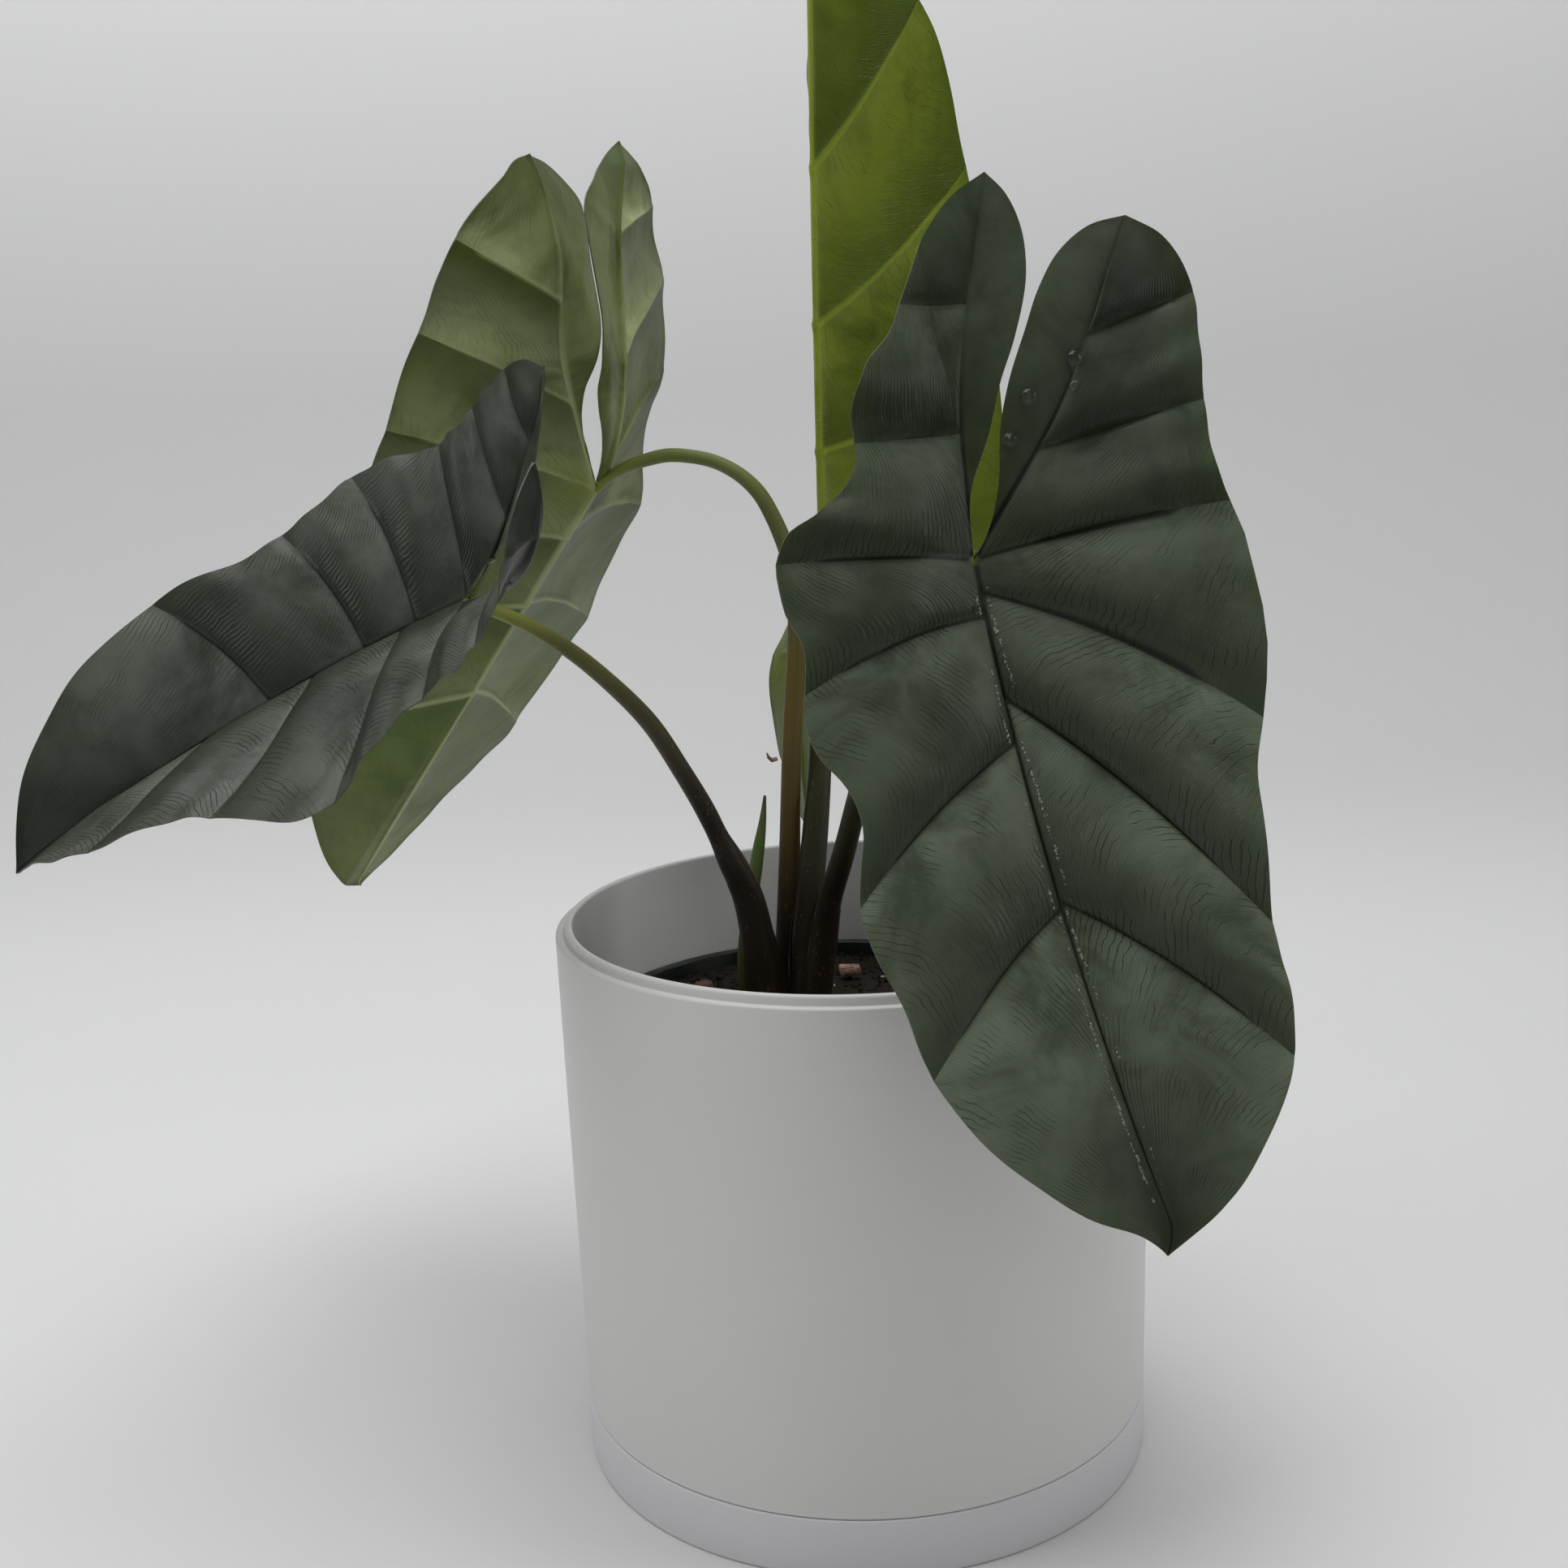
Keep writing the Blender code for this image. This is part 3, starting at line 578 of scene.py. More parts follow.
def leaf_upper(look, name, light, green, highlight_gain, highlight_lift, painted_sheen):
    """The dark upper side: grey-green wax over green, fine dark veins and pleats by the side veins, with
    painted highlight and painted shade: paler on the swelling just past each side vein, darker in the
    hollow before the next, and a painted highlight along the flanks of the ribs.

    light scales the base colour, and gives a leaf that catches more light a lighter, greyer copy of it,
    which is painted light; green is how much green shows by the margin; the next two numbers, a gain and
    a lift, make the painted highlight's colour from the base; the last is the height above which the
    painted highlight thins, the height below which it is full, and how much of it lies everywhere."""
    finish, shader, place = new_finish(name, 0.40, Coat_Roughness=0.42)
    rib, margin, joint, pleat, veins, part_way = leaf_marks(shader.id_data)
    base = [c * k for c, k in zip(look.upper, light)]
    wax = blotch(place, 34.0, 0.20)
    fresh = blotch(place, 22.0, 0.09)
    bronze = blotch(place, 60.0, 0.12)
    hair = effect("veins", veins, Wander=place)
    fine = grain(place, 2200.0)
    skin = tint(wax, [c * 0.62 for c in base], [c * 1.15 for c in base])
    skin = tint(times(bronze, 0.22), skin, (0.050, 0.036, 0.022))
    near = maths('POWER', margin, 2.2)
    greener = times(times_plus(fresh, 0.30, near), 0.40 * green, clamp=True)
    skin = tint(greener, skin, look.upper_green)
    # Painted highlight: a paler grey-green on the swelling just past each side vein. It fades towards the
    # next vein, is broken into patches, is stronger low on the leaf below the given heights, and lies thinly
    # everywhere. It stands in for the overhead light on the quilting.
    fade = maths('POWER', maths('SUBTRACT', 1.0, part_way), 1.3)
    broken = between(noise(place, 38.0, 5.0, 0.65, 0.5), 0.30, 0.62)
    painted_highlight = times(times(fade, broken, clamp=True), times_plus(wax, 0.35, 0.65))
    low = maths('SUBTRACT', 1.0, between(part_of(place, "Z"), painted_sheen[1], painted_sheen[0]))
    painted_highlight = times(painted_highlight, times_plus(low, 0.35, 0.65))
    painted_highlight = times_plus(times_plus(wax, 0.2, low), painted_sheen[2], painted_highlight, clamp=True)
    skin = tint(painted_highlight, skin, [c * highlight_gain + highlight_lift for c in base])
    # Painted shade: darker in the hollow on the joint side of each next side vein.
    skin = tint(times(maths('POWER', part_way, 3.0), 0.55), skin, [c * 0.55 for c in base])
    skin = tint(times(hair["Lines"], 0.72), skin, [c * 0.35 for c in base])
    # Ribs and side veins: a painted highlight along their flanks. Their dark cores are the veins' own dark
    # colour plus painted shade in their creases.
    skin = tint(times(between(rib, 0.12, 0.45), 0.35), skin, [c * 2.2 + 0.01 for c in base])
    skin = tint(times(between(rib, 0.62, 0.90), 0.85), skin, [c * 0.22 for c in base])
    skin = tint(between(joint, 0.965, 0.995), skin, (0.10, 0.16, 0.025))
    specks = dust(place, 420.0, 0.55)
    skin = tint(specks, skin, (0.14, 0.15, 0.13))
    rough = times_plus(wax, 0.10, times_plus(fine, 0.10, 0.27))
    pleats = times(hair["Pleats"], pleat)
    height = maths('SUBTRACT', times_plus(pleats, 0.28, times(fine, 0.10)), times(hair["Lines"], 0.50))
    finish_with(shader, skin, rough, height, 0.00045)
    shader.inputs["Specular IOR Level"].default_value = 0.33
    return finish


def leaf_under(name, base, pale, glow=0.0, highlight_amount=0.6):
    """The green underside: paler ribs, a net of fine veins, soft light and dark patches, and painted
    highlight in bands before each side vein.
    """
    finish, shader, place = new_finish(name, 0.42)
    rib, margin, joint, _, veins, part_way = leaf_marks(shader.id_data)
    cloud = blotch(place, 26.0, 0.20)
    patch = blotch(place, 70.0, 0.12)
    hair = effect("veins", veins, Wander=place, Lines=20.0)
    fine = grain(place, 1800.0)
    skin = tint(cloud, [c * 0.60 for c in base], [c * 0.92 for c in base])
    # Painted highlight: a pale tone that rises towards each next side vein. It is broken into patches and
    # stronger high on the leaf, and it stands in for gloss on the swellings.
    highlight_band = maths('POWER', part_way, 1.3)
    patchiness = between(noise(place, 24.0, 5.0, 0.64, 0.8), 0.28, 0.54)
    patchiness = times(patchiness, times_plus(between(part_of(place, "Z"), 0.24, 0.34), 0.6, 0.4))
    skin = tint(times(times(highlight_band, patchiness), highlight_amount), skin, pale)
    skin = tint(times(patch, 0.25), skin, [c * 0.5 for c in base])
    skin = tint(times(hair["Lines"], 0.30), skin, [c * 0.45 for c in base])
    skin = tint(times(between(rib, 0.25, 0.95), 0.75), skin, pale)
    skin = tint(times(between(joint, 0.62, 0.97), 0.7), skin, (0.27, 0.33, 0.06))
    skin = tint(times(maths('POWER', margin, 4.0), 0.5), skin, [c * 0.55 for c in base])
    rough = times_plus(cloud, 0.12, 0.34)
    height = times_plus(hair["Lines"], 0.35, times_plus(patch, 0.5, times(fine, 0.12)))
    finish_with(shader, skin, rough, height, 0.00030)
    shader.inputs["Specular IOR Level"].default_value = 0.30
    shader.inputs["Subsurface Weight"].default_value = glow
    shader.inputs["Subsurface Radius"].default_value = (0.002, 0.004, 0.0008)
    shader.inputs["Subsurface Scale"].default_value = 0.5
    return finish


def leaf_edge(name, base):
    """The thin pale line that rims a blade."""
    finish, shader, place = new_finish(name, 0.45)
    patchiness = blotch(place, 120.0, 0.15)
    finish_with(shader, tint(patchiness, [c * 0.45 for c in base], base), None, patchiness, 0.0001)
    return finish


def plain_stage(look):
    """Matte paint with the slightest unevenness, darker on the sweep just above the floor and lighter up the
    wall, which is painted shade and painted light. It is clear from behind, so it hides nothing there.
    """
    finish, shader, place = new_finish("stage paint", 0.75)
    patch = noise(place, 2.0, 2.0)
    pale = tint(patch, [c * 0.985 for c in look.floor], list(look.floor))
    height = part_of(place, "Z")
    # Painted shade on the sweep just above the floor, where the foot of the wall is in shade, and painted
    # light growing up the wall.
    pale = tint(between(height, 0.0, 0.10), pale, [c * 0.84 for c in look.floor])
    pale = tint(between(height, 0.15, 0.80), pale, [min(1.0, c * 1.15) for c in look.floor])
    finish_with(shader, pale)
    tree = shader.id_data
    away = add_node(tree, 'ShaderNodeNewGeometry').outputs["Backfacing"]
    clear = add_node(tree, 'ShaderNodeBsdfTransparent').outputs[0]
    one_way = add_node(tree, 'ShaderNodeMixShader', {0: away, 1: shader.outputs[0], 2: clear}).outputs[0]
    tree.links.new(one_way, tree.nodes["Material Output"].inputs["Surface"])
    return finish


def make_finishes():
    """Build the shared effects and every finish once."""
    scene = bpy.context.scene
    pots, soil, stems, leaves = (scene.alocasia_pots, scene.alocasia_soil, scene.alocasia_stems,
                                 scene.alocasia_leaves)
    EFFECTS.update(grain=grain_effect(), blotch=blotch_effect(), dust=dust_effect(), veins=vein_effect())
    old, young = list(stems.old), list(stems.young)
    FINISHES.update({
        "planter": white_plastic("planter plastic", list(pots.white)),
        "saucer": white_plastic("saucer plastic",
                                [c * k for c, k in zip(pots.white, (0.985, 0.965, 1.03))]),
        "nursery": black_plastic(pots),
        "soil": damp_soil(soil),
        "perlite": perlite_finish(),
        "bark": bark_finish("bark", list(soil.bark)),
        "pale bark": bark_finish("pale bark", (0.36, 0.20, 0.16)),
        "crown": bark_finish("crown fibre", (0.050, 0.028, 0.014), 90.0),
        "husk": bark_finish("dry husk", (0.30, 0.17, 0.10), 220.0),
        "water": water_finish(),
        "sap": sap_finish(),
        "stem_left": skin_of_stem("left stem skin",
                                  [(0.0, old), (0.42, old), (0.62, (0.060, 0.052, 0.016)),
                                   (0.80, (0.115, 0.115, 0.028)), (1.0, (0.30, 0.34, 0.06))]),
        "stem_back": skin_of_stem("back stem skin",
                                  [(0.0, old), (0.10, old), (0.24, (0.115, 0.075, 0.018)),
                                   (0.44, (0.150, 0.110, 0.025)), (0.62, (0.115, 0.120, 0.035)),
                                   (0.86, (0.16, 0.20, 0.045)), (1.0, young)]),
        "stem_upright": skin_of_stem("upright stem skin",
                                     [(0.0, old), (0.20, old), (0.38, (0.030, 0.028, 0.010)),
                                      (0.70, (0.050, 0.055, 0.014)), (1.0, young)]),
        "stem_front": skin_of_stem("front stem skin",
                                   [(0.0, old), (0.22, old), (0.42, (0.034, 0.036, 0.012)),
                                    (0.75, (0.07, 0.085, 0.025)), (1.0, young)]),
        "new_shoot": skin_of_stem("new shoot skin",
                                  [(0.0, (0.045, 0.040, 0.012)), (0.30, (0.070, 0.075, 0.018)),
                                   (0.55, (0.13, 0.21, 0.05)), (0.90, (0.12, 0.17, 0.05)),
                                   (1.0, (0.10, 0.06, 0.03))], 0.1),
        "dark upper": leaf_upper(leaves, "dark leaf upper side", (1.1, 1.0, 1.05), 1.0, 4.4, 0.095,
                                 (0.30, 0.22, 0.24)),
        # The left leaf's upper side is a lighter, greyer copy of the same finish. This is painted light, for
        # its upturned face catching the overhead light.
        "left upper": leaf_upper(leaves, "left leaf upper side", (1.85, 1.5, 2.5), 0.3, 2.2, 0.09,
                                 (0.40, 0.30, 0.05)),
        "back under": leaf_under("back leaf underside", list(leaves.under),
                                 (0.46, 0.52, 0.24), 0.0, 1.0),
        # The upright leaf's underside is a more saturated lime copy of the green underside. It is painted
        # light for light shining through the blade, along with a little subsurface scattering.
        "lime under": leaf_under("upright leaf underside", (0.110, 0.160, 0.004),
                                 (0.30, 0.37, 0.03), 0.15, 0.80),
        "dark under": leaf_under("dark leaf underside", (0.070, 0.092, 0.046),
                                 (0.14, 0.17, 0.09)),
        # The left leaf's underside is a dark grey copy of the green underside. This is painted shade for its
        # folded-back lobe, which is turned away from the light.
        "grey under": leaf_under("left leaf underside", (0.034, 0.042, 0.032),
                                 (0.075, 0.085, 0.070), 0.0, 0.3),
        "edge": leaf_edge("leaf edge", list(leaves.edge)),
        "green edge": leaf_edge("green leaf edge", (0.10, 0.16, 0.05)),
        "stage": plain_stage(scene.alocasia_stage),
    })


# ---- Leaves ---------------------------------------------------------------------------------------
# A leaf is drawn flat first. In its own plan u runs across and v runs from the stem's joint, at 0,
# along the midrib to the tip, at +length; the two back lobes reach to -lobe. Then each half is
# folded up about the midrib, and the whole blade is bent along its length.
FOLD_PLACES = (-1.0, -0.5, 0.0, 0.3, 0.6, 1.0)    # lobe tip, mid lobe, joint, ..., leaf tip
MIDRIB_ROUND = 1.5       # how softly the fold turns at the midrib
LOBE_VEINS = 3           # side veins counted from the joint back to a lobe's tip
LOBE_RUNGS, RUNG_STEP, OUTER_CELLS, INNER_CELLS = 54, 1.35, 36, 14
CELL_CROWDING = 1.3      # above 1, cells are narrower by the midrib
VEIN_BOW = 0.05          # how far a side vein bows towards the joint, as a share of its length

LEAVES = {
    "leaf_left": {
        "quilt": 1.0, "unevenness": 0.7, "ripples": 2.0, "ripple": 0.55, "seed": 21,
        "tip_curl": (6, 0, 0, -1),
        "joint": (-102, -40, 268), "tip_direction": (-0.920, 0.113, -0.375),
        "upper_side": (-0.376, -0.517, 0.769),
        "length": 141, "lobe": 72, "tip_bend": -3, "lobe_bend": -59, "sweep": 38, "lobe_sweep": 0, "arch": 6,
        "fold_left": (36, 41, 41, 42, 50, 57), "fold_right": (41, 30, 20, 3, 14, 28),
        "outer_left": [(-30, -70), (-40, -66), (-48, -56), (-51, -43), (-51, -24), (-50, -4), (-53, 11),
                       (-52, 24), (-44, 42), (-38, 58), (-36, 78), (-28, 93), (-18, 108), (-5, 119),
                       (10, 129), (24, 135), (36, 139)],
        "outer_right": [(32, -72), (43, -64), (51, -55), (55, -45), (58, -30), (56, -12), (48, 5), (45, 18),
                        (50, 30), (56, 40), (57, 50), (55, 62), (51, 72), (50, 84), (52, 98), (52, 112),
                        (46, 127), (36, 139)],
        "inner_left": [(-30, -70), (-26, -58), (-20, -44), (-13, -24), (-5, -7), (0, 0)],
        "inner_right": [(32, -72), (29, -62), (24, -47), (15, -27), (6, -9), (0, 0)],
        "lobe_rib_left": (-21, -34), "lobe_rib_right": (26, -36),
        "veins_left": [(0, -8), (16, 22), (32, 46), (62, 84)],
        "veins_right": [(0, 8), (20, 40), (48, 74), (82, 108)],
    },
    "leaf_back": {
        "quilt": 0.8, "unevenness": 0.8, "ripples": 1.0, "ripple": 0.4, "seed": 22, "tip_curl": (7, 3, 0, 1),
        "joint": (-75, 34, 294), "tip_direction": (-0.495, 0.577, -0.649),
        "upper_side": (-0.493, 0.429, 0.757),
        "length": 206, "lobe": 104, "tip_bend": 8, "lobe_bend": -45, "sweep": 25, "lobe_sweep": 53, "arch": 4,
        "fold_left": (37, 44, 38, 24, 17, 10), "fold_right": (-9, 38, 26, 33, 36, 40),
        "outer_left": [(-45, -114), (-54, -104), (-65, -88), (-70, -66), (-73, -47), (-69, -28), (-62, -9),
                       (-58, 4), (-58, 15), (-62, 30), (-66, 44), (-64, 58), (-58, 80), (-56, 105),
                       (-50, 122), (-40, 139), (-36, 154), (-25, 168), (-10, 182), (2, 198), (12, 209),
                       (21, 215)],
        "outer_right": [(35, -106.5), (46, -104.5), (54, -99), (61, -93), (66, -86), (68.5, -74),
                        (70, -54), (71, -36), (70.5, -18), (69.5, 0), (68, 20), (67, 50), (64, 80),
                        (60, 110), (56, 140), (51, 164), (44, 184), (35, 201), (21, 215)],
        "inner_left": [(-45, -114), (-25, -106), (-11, -99), (1, -91), (4.5, -80), (6, -68), (8.5, -58),
                       (13, -51), (15, -42), (12, -33), (7, -23), (2.8, -12), (1, -5), (0, 0)],
        "inner_right": [(35, -106.5), (24, -104), (13, -98.5), (5, -91), (6.5, -80), (8, -68), (11, -58),
                        (16, -51), (18.5, -41), (17, -32), (12, -20), (5.5, -9), (1.6, -3.5), (0, 0)],
        "lobe_rib_left": (-14, -56), "lobe_rib_right": (31, -58),
        "veins_left": [(0, -8), (24, 50), (58, 100), (104, 148)],
        "veins_right": [(0, -8), (24, 50), (58, 100), (104, 148)],
    },
    "leaf_upright": {
        "quilt": 0.7, "unevenness": 0.6, "ripples": 1.0, "ripple": 0.4, "seed": 23, "tip_curl": (8, 0, 2, 0),
        "joint": (-5, 42, 273.5), "tip_direction": (0.0, 0.03, 1.0), "upper_side": (0.57, 0.82, 0.0),
        "length": 206, "lobe": 100, "tip_bend": 2, "lobe_bend": -2, "sweep": 5, "lobe_sweep": 0, "arch": 2,
        "fold_left": (38, 36, 55, 57, 56, 52), "fold_right": (45, 45, 50, 52, 52, 50),
        "outer_left": [(-27, -99), (-40, -92), (-51, -78), (-58, -58), (-62, -30), (-63, 0), (-62, 30),
                       (-60, 60), (-56, 90), (-50, 118), (-41, 145), (-29, 170), (-15, 190), (5, 206)],
        "outer_right": [(25, -100), (38, -94), (50, -80), (58, -58), (62, -30), (63, 0), (62, 30), (60, 60),
                        (57, 86), (52, 110), (50, 120), (47, 136), (42, 152), (36, 162), (26, 177),
                        (16, 192), (5, 206)],
        "inner_left": [(-27, -99), (-18, -90), (-13, -76), (-11, -56), (-8, -34), (-4, -13), (0, 0)],
        "inner_right": [(25, -100), (14, -93), (8, -80), (8, -60), (6, -35), (3, -12), (0, 0)],
        "lobe_rib_left": (-26, -48), "lobe_rib_right": (24, -48),
        "veins_left": [(0, -6), (28, 56), (66, 108), (112, 156)],
        "veins_right": [(0, -6), (28, 56), (66, 112), (112, 160)],
    },
    "leaf_front": {
        "quilt": 1.2, "unevenness": 1.0, "ripples": 2.0, "ripple": 0.7, "seed": 24,
        "tip_curl": (9, -4, -3, 0),
        "joint": (32, -95, 278.7), "tip_direction": (0.17, -0.25, -1.0), "upper_side": (0.20, -0.95, 0.25),
        "length": 172, "lobe": 92, "tip_bend": 6, "lobe_bend": -15, "sweep": 18, "lobe_sweep": 0, "arch": 2,
        "fold_left": (30, 26, 20, 14, 14, 14), "fold_right": (14, 15, 16, 16, 16, 16),
        "outer_left": [(17, -90), (9, -86), (1, -78), (-7, -67), (-14, -56), (-24, -48), (-29, -39),
                       (-29, -28), (-33, -21), (-43, -15), (-52, -10), (-55, -3), (-54, 6), (-51, 15),
                       (-51, 24), (-53, 32), (-51, 39), (-45, 48), (-43, 58), (-45, 68), (-47, 79),
                       (-43, 95), (-36, 120), (-29, 133), (-17, 147), (-4, 159), (10, 167), (20, 173)],
        "outer_right": [(49, -75), (57, -69), (62, -58), (62, -40), (61, -26), (61, -12), (64, 3), (65, 20),
                        (64, 36), (61, 48), (57, 60), (56, 72), (55, 86), (54, 100), (55, 114), (54, 128),
                        (48, 143), (39, 156), (30, 165), (20, 173)],
        "inner_left": [(17, -90), (21, -85), (24, -76), (24, -67), (19, -51), (13.5, -40), (9.5, -30),
                       (2, -15), (0, 0)],
        "inner_right": [(49, -75), (40, -74), (32, -69), (26, -61), (21.5, -52), (16, -41), (12, -30),
                        (9, -16), (4, -5), (0, 0)],
        "lobe_rib_left": (4, -40), "lobe_rib_right": (27, -33),
        "veins_left": [(0, -4), (14, 26), (45, 76), (86, 118)],
        "veins_right": [(0, -2), (8, 50), (34, 98), (84, 130)],
    },
}


def blade_axes(leaf):
    """The leaf's own directions: across, along to the tip, and out of its upper side."""
    along = unit(leaf["tip_direction"])
    upward = np.asarray(leaf["upper_side"], float)
    upward = unit(upward - along * upward.dot(along))
    return np.cross(upward, along), along, upward


def blade_point(leaf, u, v):
    """Where a point (u, v) of the flat plan lies on the folded and bent blade."""
    size = np.where(v > 0, leaf["length"], leaf["lobe"])
    reach = v / size
    bend = np.radians(np.where(v > 0, leaf["tip_bend"], leaf["lobe_bend"]))
    turn = bend * np.abs(reach)
    radius = size / bend
    backward = np.clip(-reach, 0.0, None)
    midrib = leaf["sweep"] * np.clip(reach, 0.0, None) ** 2 + leaf["lobe_sweep"] * backward ** 1.5
    off = u - midrib
    fold = np.radians(np.where(off > 0, smooth_value(FOLD_PLACES, leaf["fold_right"], reach),
                               smooth_value(FOLD_PLACES, leaf["fold_left"], reach)))
    soft = MIDRIB_ROUND + 0.2 * leaf["lobe_sweep"] * backward
    rise = np.sqrt(off ** 2 + soft ** 2) - soft
    lift = rise * np.sin(fold) - leaf["arch"] * (3.0 * off / leaf["length"]) ** 2
    x = midrib + off * np.cos(fold)
    y = np.sign(v) * np.sin(turn) * (radius + lift)
    z = (np.cos(turn) - 1.0) * radius + lift * np.cos(turn)
    across, along, upward = blade_axes(leaf)
    return np.asarray(leaf["joint"]) + np.outer(x, across) + np.outer(y, along) + np.outer(z, upward)


def vein_map(leaf, side):
    """Matching stations along the midrib and along one margin, taken from the side veins, and the
    side vein's number at each."""
    outline = leaf["outer_" + side]
    part = np.linspace(0.0, 1.0, 400)
    edge_v = smooth_path(outline, part)[:, 1]
    knots = [outline[0][1]] + [v for v, _ in leaf["veins_" + side]] + [outline[-1][1]]
    ends = [0.0] + [np.interp(v, edge_v, part) for _, v in leaf["veins_" + side]] + [1.0]
    return knots, ends, [-LOBE_VEINS] + list(range(len(knots) - 1)), np.interp(0.0, knots, ends)


def midrib_stations(leaf):
    """Closely spaced stations on the midrib, with one at the root of every side vein."""
    roots = {0.0, float(leaf["outer_left"][-1][1])}
    for side in ("left", "right"):
        roots |= {float(v) for v, _ in leaf["veins_" + side]}
    roots = sorted(roots)
    stations = []
    for low, high in zip(roots, roots[1:]):
        stations += list(np.linspace(low, high, max(1, round((high - low) / RUNG_STEP)) + 1)[1:])
    return np.array(stations)


def blade_strips(leaf):
    """The leaf's meshed strips: the rib's and the margin's plan points, each rung's vein number,
    how many cells across, which way round the faces go and whether it is one of the outer two."""
    stations = midrib_stations(leaf)
    part = np.linspace(0.0, 1.0, LOBE_RUNGS + 1)
    for side, way in (("right", 1), ("left", -1)):
        outline = leaf["outer_" + side]
        knots, ends, numbers, joint_end = vein_map(leaf, side)
        lobe = smooth_path([outline[0], leaf["lobe_rib_" + side], (0.0, 0.0)], part)
        spread = outline[-1][0] * (stations / outline[-1][1]) ** 2
        spine = np.vstack([lobe, np.stack([spread, stations], axis=-1)])
        number = np.append(LOBE_VEINS * (part - 1.0), np.interp(stations, knots, numbers))
        outer = smooth_path(outline, np.append(part * joint_end, np.interp(stations, knots, ends)))
        yield spine, outer, number, OUTER_CELLS, way, True
        yield lobe, smooth_path(leaf["inner_" + side], part), number[:len(part)], INNER_CELLS, -way, False


def strip_values(rib, edge, number, cells, outer):
    """A strip's plan points and what the relief and the finish need to know at each."""
    t = ((np.arange(cells + 1) / cells) ** CELL_CROWDING)[None, :]
    row = np.linalg.norm(edge - rib, axis=1)[:, None]
    plan = rib[:, None, :] * (1.0 - t[..., None]) + edge[:, None, :] * t[..., None]
    if outer:
        plan[..., 1] -= VEIN_BOW * row * 4.0 * t * (1.0 - t) * ease(number, -0.4, 0.6)[:, None]
    along = np.gradient(plan, number, axis=0)
    heading = (edge - rib) / np.maximum(row, 0.001)
    spacing = np.abs(along[..., 0] * heading[:, None, 1] - along[..., 1] * heading[:, None, 0])
    last = number[-1] if outer else 1.0
    nearest = np.round(number)
    strength = np.where((nearest <= -LOBE_VEINS) | (nearest >= last), 0.0,
                        np.where(nearest < 0, 0.75, 1.0))[:, None] * (1.0 if outer else 0.35)
    shape = np.ones_like(plan[..., 0])
    return {"plan": plan, "t": t * shape, "number": number[:, None] * shape, "rib": t * row,
            "margin": (1.0 - t) * row, "vein": np.abs(number - nearest)[:, None] * spacing,
            "strength": strength * shape, "outer": shape * float(outer),
            "end": ease(last - number, 0.0, 0.8)[:, None] * shape if outer else shape,
            "row": row * shape}


def relief_of(leaf, look, at):
    """Heights in millimetres that the blade, its upper skin and its underside add at each place, and
    the four masks that the finish reads."""
    tip = leaf["outer_left"][-1][1]
    v = at["plan"][..., 1]
    joint = np.hypot(at["plan"][..., 0], v)
    taper = 1.0 - 0.78 * np.clip(np.where(v > 0, v / tip, -v / leaf["lobe"]), 0.0, 1.0)
    rib = np.exp(-(at["rib"] / (0.55 + 1.15 * taper)) ** 2)
    fine_rib = np.exp(-(at["rib"] / (0.35 + 0.45 * taper)) ** 2)
    fading = at["strength"] * (1.0 - ease(at["t"], 0.72, 0.97))
    vein = fading * np.exp(-(at["vein"] / (0.45 + 0.75 * (1.0 - at["t"]))) ** 2)
    fine_vein = fading * np.exp(-(at["vein"] / 0.55) ** 2)
    part_way = at["number"] - np.floor(at["number"])
    pillow = part_way ** 1.3 * (1.0 - part_way) ** 0.55 * 2.0
    body = (1.0 - (1.0 - at["t"]) ** 5) * (1.0 - 0.75 * at["t"] ** 2) * ease(joint, 2.0, 26.0)
    body = body * np.where(at["outer"] > 0, 1.0, 0.35) * (0.35 + 0.65 * at["end"])
    swell = look.quilting / MM * leaf["quilt"] * pillow * body * ease(at["row"], 6.0, 34.0)
    wave = rolling(at["plan"].reshape(-1, 2), 52.0, leaf["seed"]).reshape(v.shape)
    swell = swell + leaf["unevenness"] * wave * ease(at["rib"], 2.0, 22.0)
    ripple = np.sin(2.0 * math.pi * (at["number"] * leaf["ripples"] + 0.15 * wave))
    swell = swell + leaf["ripple"] * ripple * ease(at["t"], 0.35, 1.0) * ease(at["row"], 10.0, 40.0)
    upper = -0.50 * fine_rib * taper - 0.30 * fine_vein
    under = look.rib_height / MM * rib * (0.25 + 0.75 * taper) + 0.45 * vein
    pleat = np.exp(-((part_way - 0.84) / 0.17) ** 2)
    pleat = pleat * ease(at["t"], 0.03, 0.2) * (1.0 - ease(at["t"], 0.7, 1.0))
    rib_mask = np.maximum(rib * np.where(v < 0, np.minimum(1.0, 1.15 * taper), 1.0), vein)
    marks = np.stack([rib_mask, 1.0 - np.clip(at["margin"] / 14.0, 0.0, 1.0),
                      1.0 - np.clip(joint / 60.0, 0.0, 1.0), pleat * (at["outer"] > 0)], axis=-1)
    return swell, upper, under, marks


